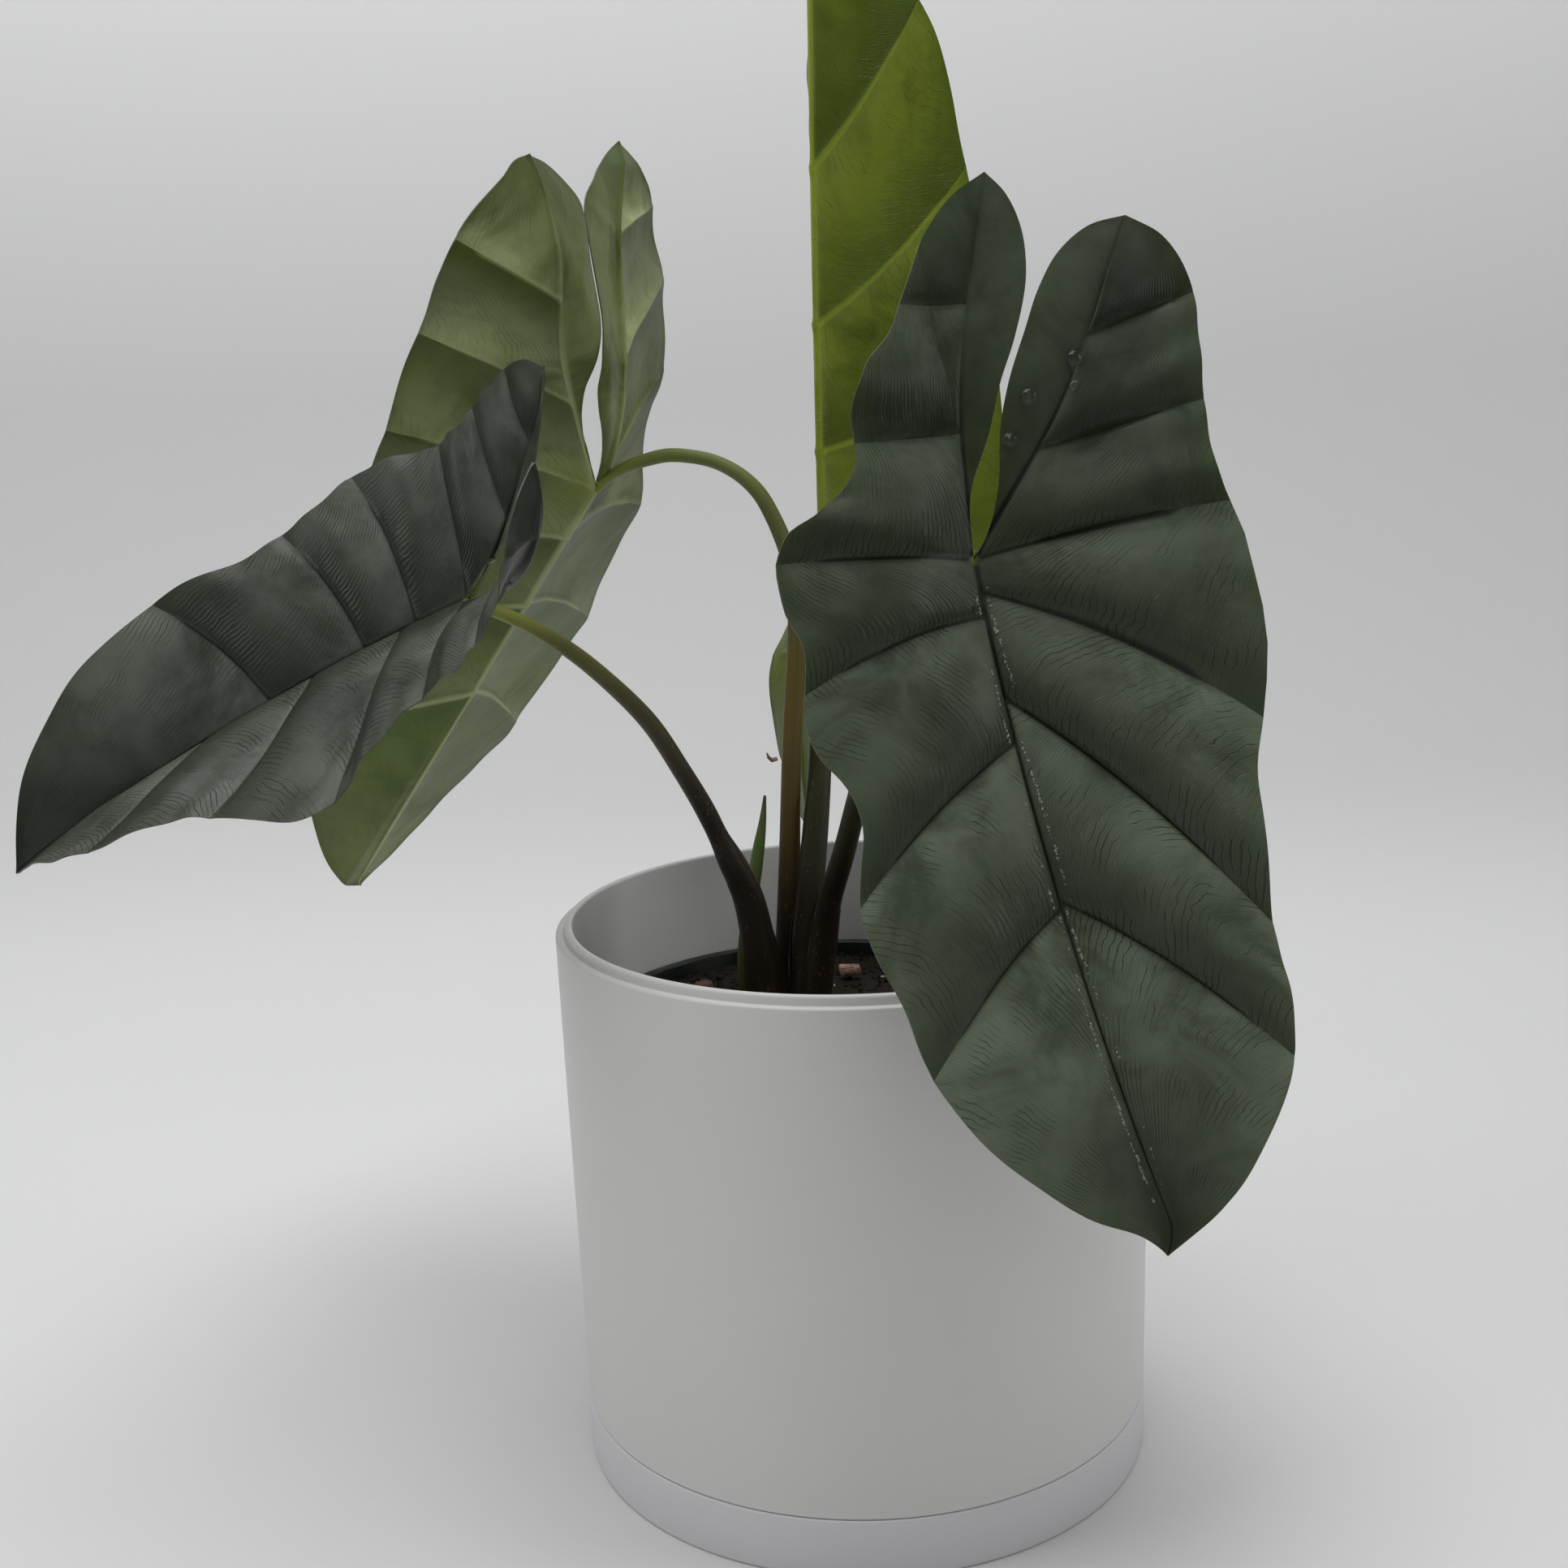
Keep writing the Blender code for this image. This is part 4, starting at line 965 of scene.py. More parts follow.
def leaf_blade(name, leaf, look, finishes):
    """A whole blade as one closed skin: its quilted upper side, its ribbed underside and its edge."""
    stack = {key: [] for key in ("plan", "swell", "upper", "under", "marks", "veins", "margin")}
    quads, first = [], 0
    for rib, edge, number, cells, way, outer in blade_strips(leaf):
        at = strip_values(rib, edge, number, cells, outer)
        swell, upper, under, marks = relief_of(leaf, look, at)
        counted = at["number"] + LOBE_VEINS if outer else 0.3 * at["number"] + LOBE_VEINS - 0.05
        values = {"plan": at["plan"], "swell": swell, "upper": upper, "under": under, "marks": marks,
                  "veins": np.stack([at["t"], counted], axis=-1), "margin": at["margin"]}
        for key, value in values.items():
            stack[key].append(value.reshape(-1, *value.shape[2:]))
        grid = first + np.arange(len(rib) * (cells + 1)).reshape(len(rib), cells + 1)
        loop = np.stack([grid[:-1, :-1], grid[:-1, 1:], grid[1:, 1:], grid[1:, :-1]], axis=-1).reshape(-1, 4)
        quads.append(loop[:, ::-1] if way > 0 else loop)
        first += grid.size
    values = {key: np.concatenate(part) for key, part in stack.items()}
    quads = np.concatenate(quads)
    middle = blade_point(leaf, values["plan"][:, 0], values["plan"][:, 1])
    curl = leaf["tip_curl"]
    late = np.clip((values["plan"][:, 1] - (leaf["outer_left"][-1][1] - curl[0])) / curl[0], 0.0, 1.0) ** 2
    middle = middle + np.outer(late, curl[1:])
    _, kept, weld = np.unique(np.round(middle / 0.01).astype(np.int64), axis=0, return_index=True,
                              return_inverse=True)
    weld = weld.reshape(-1)

    def joined(value):
        """A value at each welded point, the mean of those that met there."""
        total = np.zeros((len(kept),) + value.shape[1:])
        np.add.at(total, weld, value)
        count = np.bincount(weld, minlength=len(kept)).reshape(-1, *([1] * (value.ndim - 1)))
        return total / count

    points = joined(middle)
    corner = weld[quads]
    normal = np.zeros_like(points)
    for final in (False, True):
        cross = np.cross(points[corner[:, 2]] - points[corner[:, 0]],
                         points[corner[:, 3]] - points[corner[:, 1]])
        normal[:] = 0.0
        for k in range(4):
            np.add.at(normal, corner[:, k], cross)
        normal /= np.maximum(np.linalg.norm(normal, axis=1), 1e-12)[:, None]
        if not final:
            points = points + normal * joined(values["swell"])[:, None]
    half = look.thickness / MM / 2.0 * (0.45 + 0.55 * ease(joined(values["margin"]), 0.0, 7.0))
    top = points + normal * (half + joined(values["upper"]))[:, None]
    bottom = points - normal * (half + joined(values["under"]))[:, None]

    faces, sources, which = [], [], []
    edges = {}
    for welded, own in zip(corner.tolist(), quads.tolist()):
        keep = [k for k in range(4) if welded[k] != welded[k - 1]]
        if len(keep) < 3 or len({welded[k] for k in keep}) < 3:
            continue
        loop, own = [welded[k] for k in keep], [own[k] for k in keep]
        faces.append(loop)
        sources.append(own)
        which.append(0)
        faces.append([k + len(points) for k in reversed(loop)])
        sources.append(own[::-1])
        which.append(1)
        for a, b, own_a, own_b in zip(loop, loop[1:] + loop[:1], own, own[1:] + own[:1]):
            if edges.pop((b, a), None) is None:
                edges[(a, b)] = (own_a, own_b)
    for (a, b), (own_a, own_b) in edges.items():
        faces.append([b, a, a + len(points), b + len(points)])
        sources.append([own_b, own_a, own_a, own_b])
        which.append(2)
    blade = mesh_object(name, np.vstack([top, bottom]), faces, finishes, which, 62.0)
    corners = np.array([k for own in sources for k in own])
    for label, value in (("veins", values["veins"]), ("plan", values["plan"] / 100.0)):
        layer = blade.data.uv_layers.new(name=label)
        layer.data.foreach_set("uv", value[corners].astype(np.float32).ravel())
    marks = blade.data.color_attributes.new(name="marks", type='FLOAT_COLOR', domain='CORNER')
    marks.data.foreach_set("color", values["marks"][corners].astype(np.float32).ravel())
    return blade


def surface_spot(blade, leaf, u, v, lift):
    """A place on a blade's upper skin and the way out of it, for something lying on the leaf."""
    step = 0.5
    p = blade_point(leaf, np.array([u, u + step, u]), np.array([v, v, v + step]))
    out = unit(np.cross(p[1] - p[0], p[2] - p[0]))
    if out.dot(blade_axes(leaf)[2]) < 0:
        out = -out
    _, place, normal, _ = blade.closest_point_on_mesh(Vector((p[0] + out * 5.0) * MM))
    return np.array(place) / MM + np.array(normal) * lift, np.array(normal)


# ---- Leaf stems -----------------------------------------------------------------------------------
# (x, y, z, radius) from the crown to the leaf's joint
STEMS = {
    "stem_left": [(-25.5, -2, 135.2, 5.6), (-26.4, -2.2, 146, 5.4), (-28.1, -3, 158, 5.0),
                  (-31.1, -4, 173.5, 4.5), (-35.8, -5.4, 185, 3.9), (-38.4, -6.2, 191, 3.1),
                  (-41.9, -8, 199.7, 3.0), (-48.2, -11, 212.7, 2.8), (-56.6, -15, 228.1, 2.7),
                  (-67, -20, 241, 2.5), (-77.2, -26, 251.5, 2.3), (-87.1, -32, 259.4, 2.0),
                  (-95.6, -36.5, 264.3, 1.8), (-98.8, -38, 265.8, 1.5)],
    "stem_back": [(-21.0, 11.5, 135.2, 4.2), (-19.8, 11.2, 153.5, 3.9), (-18.8, 11, 171.7, 3.5),
                  (-18, 11.5, 187.7, 3.2), (-16.5, 13, 214.4, 3.0), (-15.2, 14.5, 231.9, 2.9),
                  (-14.1, 15.5, 244.8, 2.8), (-13.8, 16.6, 257.2, 2.7), (-15.2, 18.2, 270.5, 2.6),
                  (-17.5, 19, 277.6, 2.5), (-20, 20.2, 283.6, 2.4), (-24.2, 21.6, 291, 2.3),
                  (-29.6, 23, 296.2, 2.2), (-37.7, 24.8, 300.5, 2.1), (-44.7, 25.8, 302.1, 2.1),
                  (-50.9, 26.6, 302.6, 2.1), (-58, 27.5, 301.4, 2.0), (-64.7, 29, 299.3, 1.8),
                  (-70.3, 31.2, 296.3, 1.5)],
    "stem_upright": [(-15.8, 0.6, 135.2, 4.5), (-14.3, 2, 156, 4.2), (-12.3, 4, 171, 4.1),
                     (-10.4, 8, 187, 4.0), (-8.4, 14, 206, 3.6), (-7, 22, 230, 3.1), (-6, 31, 252, 2.6),
                     (-5.4, 38.6, 269.6, 1.9)],
    "stem_front": [(-11.6, -7.6, 135.2, 4.0), (-10.4, -7.8, 147, 3.9), (-8.4, -9, 159, 3.8),
                   (-6.3, -12, 172.5, 3.6), (-2.3, -17, 186, 3.3), (2.4, -25, 204.5, 3.1),
                   (8, -38, 228, 2.9), (15, -55, 251, 2.6), (23, -73, 267.5, 2.2), (30, -89.5, 276.8, 1.7)],
    "new_shoot": [(-33.6, 5.6, 135.2, 2.3), (-32.9, 7, 155, 2.1), (-30.1, 8, 170, 2.0),
                  (-27.9, 9, 182.7, 1.9), (-26.1, 10, 192.6, 1.1), (-25.2, 10.8, 200, 0.4)],
    "dry_bract": [(-21.3, 11, 211.2, 0.7), (-22.4, 10, 211.0, 0.7), (-23.6, 9, 212.2, 0.5),
                  (-24.0, 8.4, 213.6, 0.2)],
}

# Sheaths round the stems' bases: stem, start and end along it, extra radius, and where its open side is
SHEATHS = [("stem_left", 0.0, 0.27, 0.15, 0.4), ("stem_front", 0.0, 0.20, 0.15, 2.4),
           ("stem_upright", 0.0, 0.26, 0.15, 4.0)]

# Water beads on the front leaf: (u, v, radius)
DROPS = [(32, -43, 1.9), (29, -38, 1.3), (19.5, -36, 2.0), (13.5, -27, 1.7), (-1.5, 12, 1.3)]

def new_shape_tree(name, inputs, output):
    """An empty geometry nodes group with its named inputs and its one output, and those inputs."""
    tree = bpy.data.node_groups.new(name, 'GeometryNodeTree')
    for label, kind in inputs.items():
        tree.interface.new_socket(label, in_out='INPUT', socket_type='NodeSocket' + kind)
    tree.interface.new_socket(output, in_out='OUTPUT', socket_type='NodeSocketGeometry')
    return tree, add_node(tree, 'NodeGroupInput').outputs


def end_shape_tree(tree, shape, finish, output):
    """End a geometry nodes group: copies made real, the finish set and the result passed out."""
    whole = add_node(tree, 'GeometryNodeRealizeInstances', {0: shape}).outputs[0]
    done = add_node(tree, 'GeometryNodeSetMaterial', {"Geometry": whole, "Material": finish})
    add_node(tree, 'NodeGroupOutput', {output: done.outputs[0]})
    return tree


def rough_ball(tree, radius, rounds, pitch, unevenness):
    """A ball whose surface noise has pushed about, for a crumb or a bead."""
    ball = add_node(tree, 'GeometryNodeMeshIcoSphere', {"Radius": radius, "Subdivisions": rounds}).outputs[0]
    place = add_node(tree, 'GeometryNodeInputPosition').outputs[0]
    lumpy = add_node(tree, 'ShaderNodeTexNoise', {"Vector": place, "Scale": pitch, "Detail": 2.0})
    push = add_node(tree, 'ShaderNodeVectorMath', {0: lumpy.outputs["Color"], 1: (0.5, 0.5, 0.5)},
                    operation='SUBTRACT')
    grow = add_node(tree, 'ShaderNodeVectorMath', {0: push.outputs[0], "Scale": unevenness},
                    operation='SCALE')
    return add_node(tree, 'GeometryNodeSetPosition', {"Geometry": ball, "Offset": grow.outputs[0]}).outputs[0]


def tube_tree():
    """Geometry nodes: a round tube along a path, closed at both ends, marked with how far along it and
    how far round it each point is."""
    tree, given = new_shape_tree("Leaf stem", {"Path": 'Geometry', "Sides": 'Int', "Ring step": 'Float',
                                               "Skin": 'Material'}, "Stem")
    path = add_node(tree, 'GeometryNodeResampleCurve', {"Curve": given["Path"], "Length": given["Ring step"]},
                    mode='LENGTH').outputs[0]
    circle = add_node(tree, 'GeometryNodeCurvePrimitiveCircle', {"Resolution": given["Sides"], "Radius": 1.0})
    marks = []
    for curve in (path, circle.outputs[0]):
        part = add_node(tree, 'GeometryNodeSplineParameter').outputs["Factor"]
        keep = add_node(tree, 'GeometryNodeCaptureAttribute', {"Geometry": curve})
        keep.capture_items.new('FLOAT', "part")
        tree.links.new(part, keep.inputs[1])
        marks.append((keep.outputs["Geometry"], keep.outputs[1]))
    radius = add_node(tree, 'GeometryNodeInputRadius').outputs[0]
    tube = add_node(tree, 'GeometryNodeCurveToMesh', {"Curve": marks[0][0], "Profile Curve": marks[1][0],
                                                      "Fill Caps": True})
    if "Scale" in tube.inputs:
        tree.links.new(radius, tube.inputs["Scale"])
    shape = tube.outputs[0]
    for label, value in (("along", marks[0][1]), ("around", marks[1][1])):
        shape = add_node(tree, 'GeometryNodeStoreNamedAttribute',
                         {"Geometry": shape, "Name": label, "Value": value},
                         data_type='FLOAT', domain='POINT').outputs[0]
    return end_shape_tree(tree, shape, given["Skin"], "Stem")


def path_object(name, route):
    """A poly curve through (x, y, z, radius) points."""
    curve = bpy.data.curves.new(name, 'CURVE')
    curve.dimensions = '3D'
    spline = curve.splines.new('POLY')
    spline.points.add(len(route) - 1)
    for point, (x, y, z, r) in zip(spline.points, route):
        point.co = (x * MM, y * MM, z * MM, 1.0)
        point.radius = r * MM
    return new_object(name, curve)


def grown_stem(name, route, look, tree, finish, sides=None):
    """A stem along a smooth route through (x, y, z, radius) points."""
    fine = smooth_path(route, np.linspace(0.0, 1.0, 240))
    made = grown(path_object(name + "_path", fine), tree, name,
                 {"Sides": sides or look.sides, "Ring step": look.ring_step, "Skin": finish})
    mesh = made.data
    around, along = (np.empty(len(mesh.vertices), np.float32) for _ in range(2))
    mesh.attributes["around"].data.foreach_get("value", around)
    mesh.attributes["along"].data.foreach_get("value", along)
    vertex = np.empty(len(mesh.loops), np.int32)
    mesh.loops.foreach_get("vertex_index", vertex)
    skin = mesh.uv_layers.new(name="skin")
    ring = np.abs(around[vertex] * 2.0 - 1.0)
    skin.data.foreach_set("uv", np.stack([ring, along[vertex]], axis=-1).astype(np.float32).ravel())
    mesh.shade_smooth()
    mesh.set_sharp_from_angle(angle=math.radians(50))
    return made


def sheath(name, route, start, stop, extra, tip_turn, finish):
    """The dry-edged wrap round a stem's base: a thin open shell that hugs it, cut off at a slant."""
    rings, sides, wall = 40, 30, 0.35
    part = np.linspace(start, stop, rings)
    fine = smooth_path(route, part)
    heading = np.gradient(fine[:, :3], axis=0)
    heading /= np.linalg.norm(heading, axis=1)[:, None]
    side = np.cross(heading[0], (0.0, 1.0, 0.0))
    points, faces = [], []
    for k in range(rings):
        side = unit(side - heading[k] * side.dot(heading[k]))
        other = np.cross(heading[k], side)
        far = k / (rings - 1)
        opening = 0.30 + 2.6 * far ** 1.6
        for s in range(sides + 1):
            angle = tip_turn + (s / sides - 0.5) * (2.0 * math.pi - opening)
            out = math.cos(angle) * side + math.sin(angle) * other
            free = 0.35 * far * (2.0 * abs(s / sides - 0.5)) ** 3
            reach = fine[k, 3] + extra * (1.0 - 0.55 * far) + free
            points.append(fine[k, :3] + out * reach)
            points.append(fine[k, :3] + out * (reach + wall * (1.0 - 0.7 * far)))
    row = 2 * (sides + 1)
    for k in range(rings - 1):
        for s in range(sides):
            a = k * row + 2 * s
            faces.append((a, a + row, a + row + 2, a + 2))
            faces.append((a + 1, a + 3, a + row + 3, a + row + 1))
        for s, turn in ((0, 1), (sides, -1)):
            a = k * row + 2 * s
            loop = (a, a + 1, a + row + 1, a + row)
            faces.append(loop if turn > 0 else loop[::-1])
    for k, turn in ((0, -1), (rings - 1, 1)):
        for s in range(sides):
            a = k * row + 2 * s
            loop = (a, a + 1, a + 3, a + 2)
            faces.append(loop if turn > 0 else loop[::-1])
    made = mesh_object(name, points, faces, [finish], sharp=50.0)
    work = bmesh.new()
    work.from_mesh(made.data)
    bmesh.ops.recalc_face_normals(work, faces=work.faces)
    work.to_mesh(made.data)
    work.free()
    return made


# ---- Loose bits -----------------------------------------------------------------------------------
def scatter_tree():
    """Geometry nodes: rough lumps of mixed size strewn over a surface."""
    tree, given = new_shape_tree("Strewn lumps", {"Ground": 'Geometry', "Density": 'Float',
                                                  "Smallest": 'Float', "Largest": 'Float', "Seed": 'Int',
                                                  "Finish": 'Material'}, "Lumps")
    spots = add_node(tree, 'GeometryNodeDistributePointsOnFaces',
                     {"Mesh": given["Ground"], "Density": given["Density"], "Seed": given["Seed"]})
    lump = rough_ball(tree, 0.5, 2, 3.1, 0.9)
    turn = add_node(tree, 'FunctionNodeRandomValue', {0: (0.0, 0.0, 0.0), 1: (6.28, 6.28, 6.28)},
                    data_type='FLOAT_VECTOR').outputs[0]
    size = add_node(tree, 'FunctionNodeRandomValue', {"Seed": 3}, data_type='FLOAT')
    power = maths('POWER', size.outputs[1], 2.2)
    width = add_node(tree, 'ShaderNodeMapRange',
                     {0: power, 3: given["Smallest"], 4: given["Largest"]}).outputs[0]
    flat = add_node(tree, 'FunctionNodeRandomValue', {0: (0.6, 0.6, 0.35), 1: (1.0, 1.0, 0.8), "Seed": 5},
                    data_type='FLOAT_VECTOR').outputs[0]
    scale = add_node(tree, 'ShaderNodeVectorMath', {0: flat, "Scale": width}, operation='SCALE').outputs[0]
    laid = add_node(tree, 'GeometryNodeInstanceOnPoints',
                    {"Points": spots.outputs["Points"], "Instance": lump, "Rotation": turn,
                     "Scale": scale}).outputs[0]
    return end_shape_tree(tree, laid, given["Finish"], "Lumps")


def strewn(name, ground, tree, settings):
    """A copy of a ground mesh turned into the lumps strewn over it."""
    made = grown(new_object(name + "_ground", ground), tree, name, settings)
    made.data.shade_smooth()
    return made


def bead_tree():
    """Geometry nodes: beads on marked points; each point's "size" is its bead's radius."""
    tree, given = new_shape_tree("Beads", {"Points": 'Geometry', "Roundness": 'Int', "Unevenness": 'Float',
                                           "Finish": 'Material'}, "Beads")
    size = add_node(tree, 'GeometryNodeInputNamedAttribute', {"Name": "size"}, data_type='FLOAT').outputs[0]
    out = add_node(tree, 'GeometryNodeInputNamedAttribute', {"Name": "out"},
                   data_type='FLOAT_VECTOR').outputs[0]
    bead = rough_ball(tree, 1.0, given["Roundness"], 1.7, given["Unevenness"])
    facing = add_node(tree, 'FunctionNodeAlignRotationToVector', {"Vector": out}, axis='Z').outputs[0]
    flat = add_node(tree, 'ShaderNodeVectorMath', {0: (1.0, 1.0, 0.6), "Scale": size}, operation='SCALE')
    laid = add_node(tree, 'GeometryNodeInstanceOnPoints',
                    {"Points": given["Points"], "Instance": bead, "Rotation": facing,
                     "Scale": flat.outputs[0]}).outputs[0]
    return end_shape_tree(tree, laid, given["Finish"], "Beads")


def beads(name, spots, tree, roundness, unevenness, finish):
    """Beads at (place, way out, radius) spots, in millimetres."""
    mesh = bpy.data.meshes.new(name + "_spots")
    mesh.from_pydata([tuple(c * MM for c in place) for place, _, _ in spots], [], [])
    size = mesh.attributes.new("size", 'FLOAT', 'POINT')
    size.data.foreach_set("value", np.array([r * MM for _, _, r in spots], np.float32))
    out = mesh.attributes.new("out", 'FLOAT_VECTOR', 'POINT')
    out.data.foreach_set("vector", np.array([tuple(o) for _, o, _ in spots], np.float32).ravel())
    made = grown(new_object(name + "_spots", mesh), tree, name,
                 {"Roundness": roundness, "Unevenness": unevenness, "Finish": finish})
    made.data.shade_smooth()
    return made


def rough_chip(name, node, finish, seed):
    """A flattened splinter of bark that fills its packed lump's box."""
    low, high = in_mm(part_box(node))
    work = bmesh.new()
    bmesh.ops.create_icosphere(work, subdivisions=4, radius=1.0)
    ball = np.array([corner.co[:] for corner in work.verts])
    faces = [tuple(corner.index for corner in face.verts) for face in work.faces]
    work.free()
    blocky = np.sign(ball) * np.abs(ball) ** 0.62
    shape = blocky * (1.0 + 0.14 * rolling(ball, 1.6, seed)[:, None]
                      + 0.07 * rolling(ball, 0.45, seed + 1)[:, None])
    shape[:, 2] += 0.25 * rolling(ball[:, :2], 1.3, seed + 2)
    shape -= shape.min(axis=0)
    shape /= shape.max(axis=0)
    return mesh_object(name, low + shape * (high - low), faces, [finish], sharp=40.0)


# ---- The soil -------------------------------------------------------------------------------------
SOIL_RINGS, SOIL_SIDES = 70, 150


def soil_meshes(finish):
    """The body of soil with its crumbly mound, and the mound alone for the loose bits to lie on."""
    low, high = in_mm(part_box("soil"))
    centre = (low + high) / 2.0
    radius = (high[0] - low[0]) / 2.0
    crown_low, crown_high = in_mm(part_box("crown"))
    crown_centre, crown_radius = (crown_low + crown_high) / 2.0, (crown_high[0] - crown_low[0]) / 2.0
    points, faces = [], []
    out = radius * np.linspace(0.0, 1.0, SOIL_RINGS + 1)[1:] ** 0.9
    angle = 2.0 * math.pi * np.arange(SOIL_SIDES) / SOIL_SIDES
    flat = np.array([(centre[0], centre[1])] + [(centre[0] + r * math.cos(a), centre[1] + r * math.sin(a))
                                                for r in out for a in angle])
    away = np.hypot(flat[:, 0] - centre[0], flat[:, 1] - centre[1])
    height = high[2] - 0.6 - 1.5 * (away / radius) ** 2
    height += 0.55 * rolling(flat, 22.0, 11) + 0.45 * rolling(flat, 6.5, 12) + 0.3 * rolling(flat, 2.6, 13)
    near = np.hypot(flat[:, 0] - crown_centre[0], flat[:, 1] - crown_centre[1]) - crown_radius
    height += 1.2 * np.exp(-(np.maximum(near, 0.0) / 7.0) ** 2)
    height = np.minimum(height, high[2] + 1.6)
    points = [(x, y, z) for (x, y), z in zip(flat, height)]

    def ring(k):
        """The number of the first point of one ring of the mound."""
        return 1 + k * SOIL_SIDES

    for s in range(SOIL_SIDES):
        after = (s + 1) % SOIL_SIDES
        faces.append((0, ring(0) + s, ring(0) + after))
        for k in range(SOIL_RINGS - 1):
            faces.append((ring(k) + s, ring(k + 1) + s, ring(k + 1) + after, ring(k) + after))
    ground = bpy.data.meshes.new("mound")
    ground.from_pydata([tuple(c * MM for c in p) for p in points], [], faces)
    last = ring(SOIL_RINGS - 1)
    base = len(points)
    bottom = radius * 0.78
    points += [(centre[0] + bottom * math.cos(a), centre[1] + bottom * math.sin(a), low[2]) for a in angle]
    points.append((centre[0], centre[1], low[2]))
    for s in range(SOIL_SIDES):
        after = (s + 1) % SOIL_SIDES
        faces.append((last + s, base + s, base + after, last + after))
        faces.append((base + after, base + s, len(points) - 1))
    return mesh_object("soil_body", points, faces, [finish]), ground


# ---- Operators ------------------------------------------------------------------------------------
class ALOCASIA_OT_finishes(Operator):
    """Make every finish"""
    bl_idname = "alocasia.finishes"
    bl_label = "Finishes"

    def execute(self, context):
        make_finishes()
        return {'FINISHED'}


class ALOCASIA_OT_saucer(Operator):
    """Turn the shallow saucer that the planter stands in"""
    bl_idname = "alocasia.saucer"
    bl_label = "Saucer"

    def execute(self, context):
        look = context.scene.alocasia_pots
        high = in_mm(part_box("saucer"))[1]
        outer, top = high[0], high[2]
        profile = rounded([(0, 0), (outer - 9, 0), (outer - 8.4, 0.5), (outer - 7.4, 0.5), (outer - 6.8, 0),
                           (outer - 0.2, 0, 1.2), (outer, top, 0.7), (outer - 4.2, top, 0.5),
                           (outer - 4.6, 4.0, 1.0), (outer - 5.8, 3.0, 0.8), (0, 3.0)], 0.2)
        placed(turned("saucer_shell", profile, FINISHES["saucer"], look.sides), "saucer")
        return {'FINISHED'}


class ALOCASIA_OT_planter(Operator):
    """Turn the plain planter: foot, wall, rounded shoulder, groove and raised lip"""
    bl_idname = "alocasia.planter"
    bl_label = "Planter"

    def execute(self, context):
        look = context.scene.alocasia_pots
        low, high = in_mm(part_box("planter"))
        radius, under, top = high[0], low[2], high[2]
        shoulder, seam, foot = top - 2.5, 18.0, radius - 7.0
        lip = radius - 4.0
        round_lip = look.lip_round / MM
        profile = rounded([
            (0, under), (foot - 1.0, under, 1.0), (foot, seam - 0.4, 0.3), (foot + 0.4, seam, 0.2),
            (radius - 1.9, seam, 0.45), (radius, shoulder, 1.7),
            (lip + 1.9, shoulder, 0.5), (lip + 1.55, shoulder - 0.45, 0.25),
            (lip + 1.15, shoulder - 0.35, 0.3), (lip + 1.0, top, round_lip),
            (lip - 1.1, top, round_lip), (lip - 1.25, shoulder - 5.0, 0.8),
            (foot - 2.4, under + 6.0, 2.6), (foot - 5.0, under + 3.0, 1.2), (0, under + 3.0)], 0.3, 5)
        wall = turned("planter_wall", profile, FINISHES["planter"], look.sides)
        placed(drilled(wall, 5, 45.0, 5.0, under - 2.0, under + 5.0), "planter")
        return {'FINISHED'}


class ALOCASIA_OT_nursery_pot(Operator):
    """Turn the thin nursery pot with its rolled rim and drain holes"""
    bl_idname = "alocasia.nursery_pot"
    bl_label = "Nursery pot"

    def execute(self, context):
        look = context.scene.alocasia_pots
        low, high = in_mm(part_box("nursery_pot"))
        centre = ((low[0] + high[0]) / 2.0, (low[1] + high[1]) / 2.0)
        rim, under, top = (high[0] - low[0]) / 2.0, low[2], high[2]
        wall, base = look.wall / MM, (high[0] - low[0]) / 2.0 - 18.0
        body = rim - 2.0
        profile = rounded([
            (0, under), (base, under, 1.0), (body, top - 6.2, 0.5), (rim, top - 5.6, 0.5), (rim, top, 0.9),
            (body - wall, top, 0.7), (body - wall, top - 6.0, 0.6), (base - wall, under + 1.6, 0.8),
            (0, under + 1.6)], 0.3)
        pot = turned("nursery_wall", profile, FINISHES["nursery"], look.sides, centre)
        placed(drilled(pot, 8, 44.0, 4.0, under - 2.0, under + 3.0, centre), "nursery_pot")
        return {'FINISHED'}


class ALOCASIA_OT_soil(Operator):
    """Heap the soil and strew crumbs and pale specks over it"""
    bl_idname = "alocasia.soil"
    bl_label = "Soil"

    def execute(self, context):
        look = context.scene.alocasia_soil
        body, ground = soil_meshes(FINISHES["soil"])
        placed(body, "soil")
        area = sum(face.area for face in ground.polygons)
        tree = scatter_tree()
        for name, count, small, large, finish, seed in (
                ("soil_crumbs", look.crumbs, 0.0008, look.crumb_size, "soil", look.seed),
                ("soil_perlite", look.perlite, 0.0007, 0.0022, "perlite", look.seed + 1)):
            settings = {"Density": count / area, "Smallest": small, "Largest": large, "Seed": seed,
                        "Finish": FINISHES[finish]}
            placed(strewn(name, ground, tree, settings), None)
        return {'FINISHED'}


class ALOCASIA_OT_bark(Operator):
    """Lay the bark chips on the soil"""
    bl_idname = "alocasia.bark"
    bl_label = "Bark chips"

    def execute(self, context):
        for number in range(1, 9):
            node = "bark_chip_%d" % number
            finish = "pale bark" if number in (1, 6) else "bark"
            placed(rough_chip(node + "_splinter", node, FINISHES[finish], 30 + number), node)
        return {'FINISHED'}


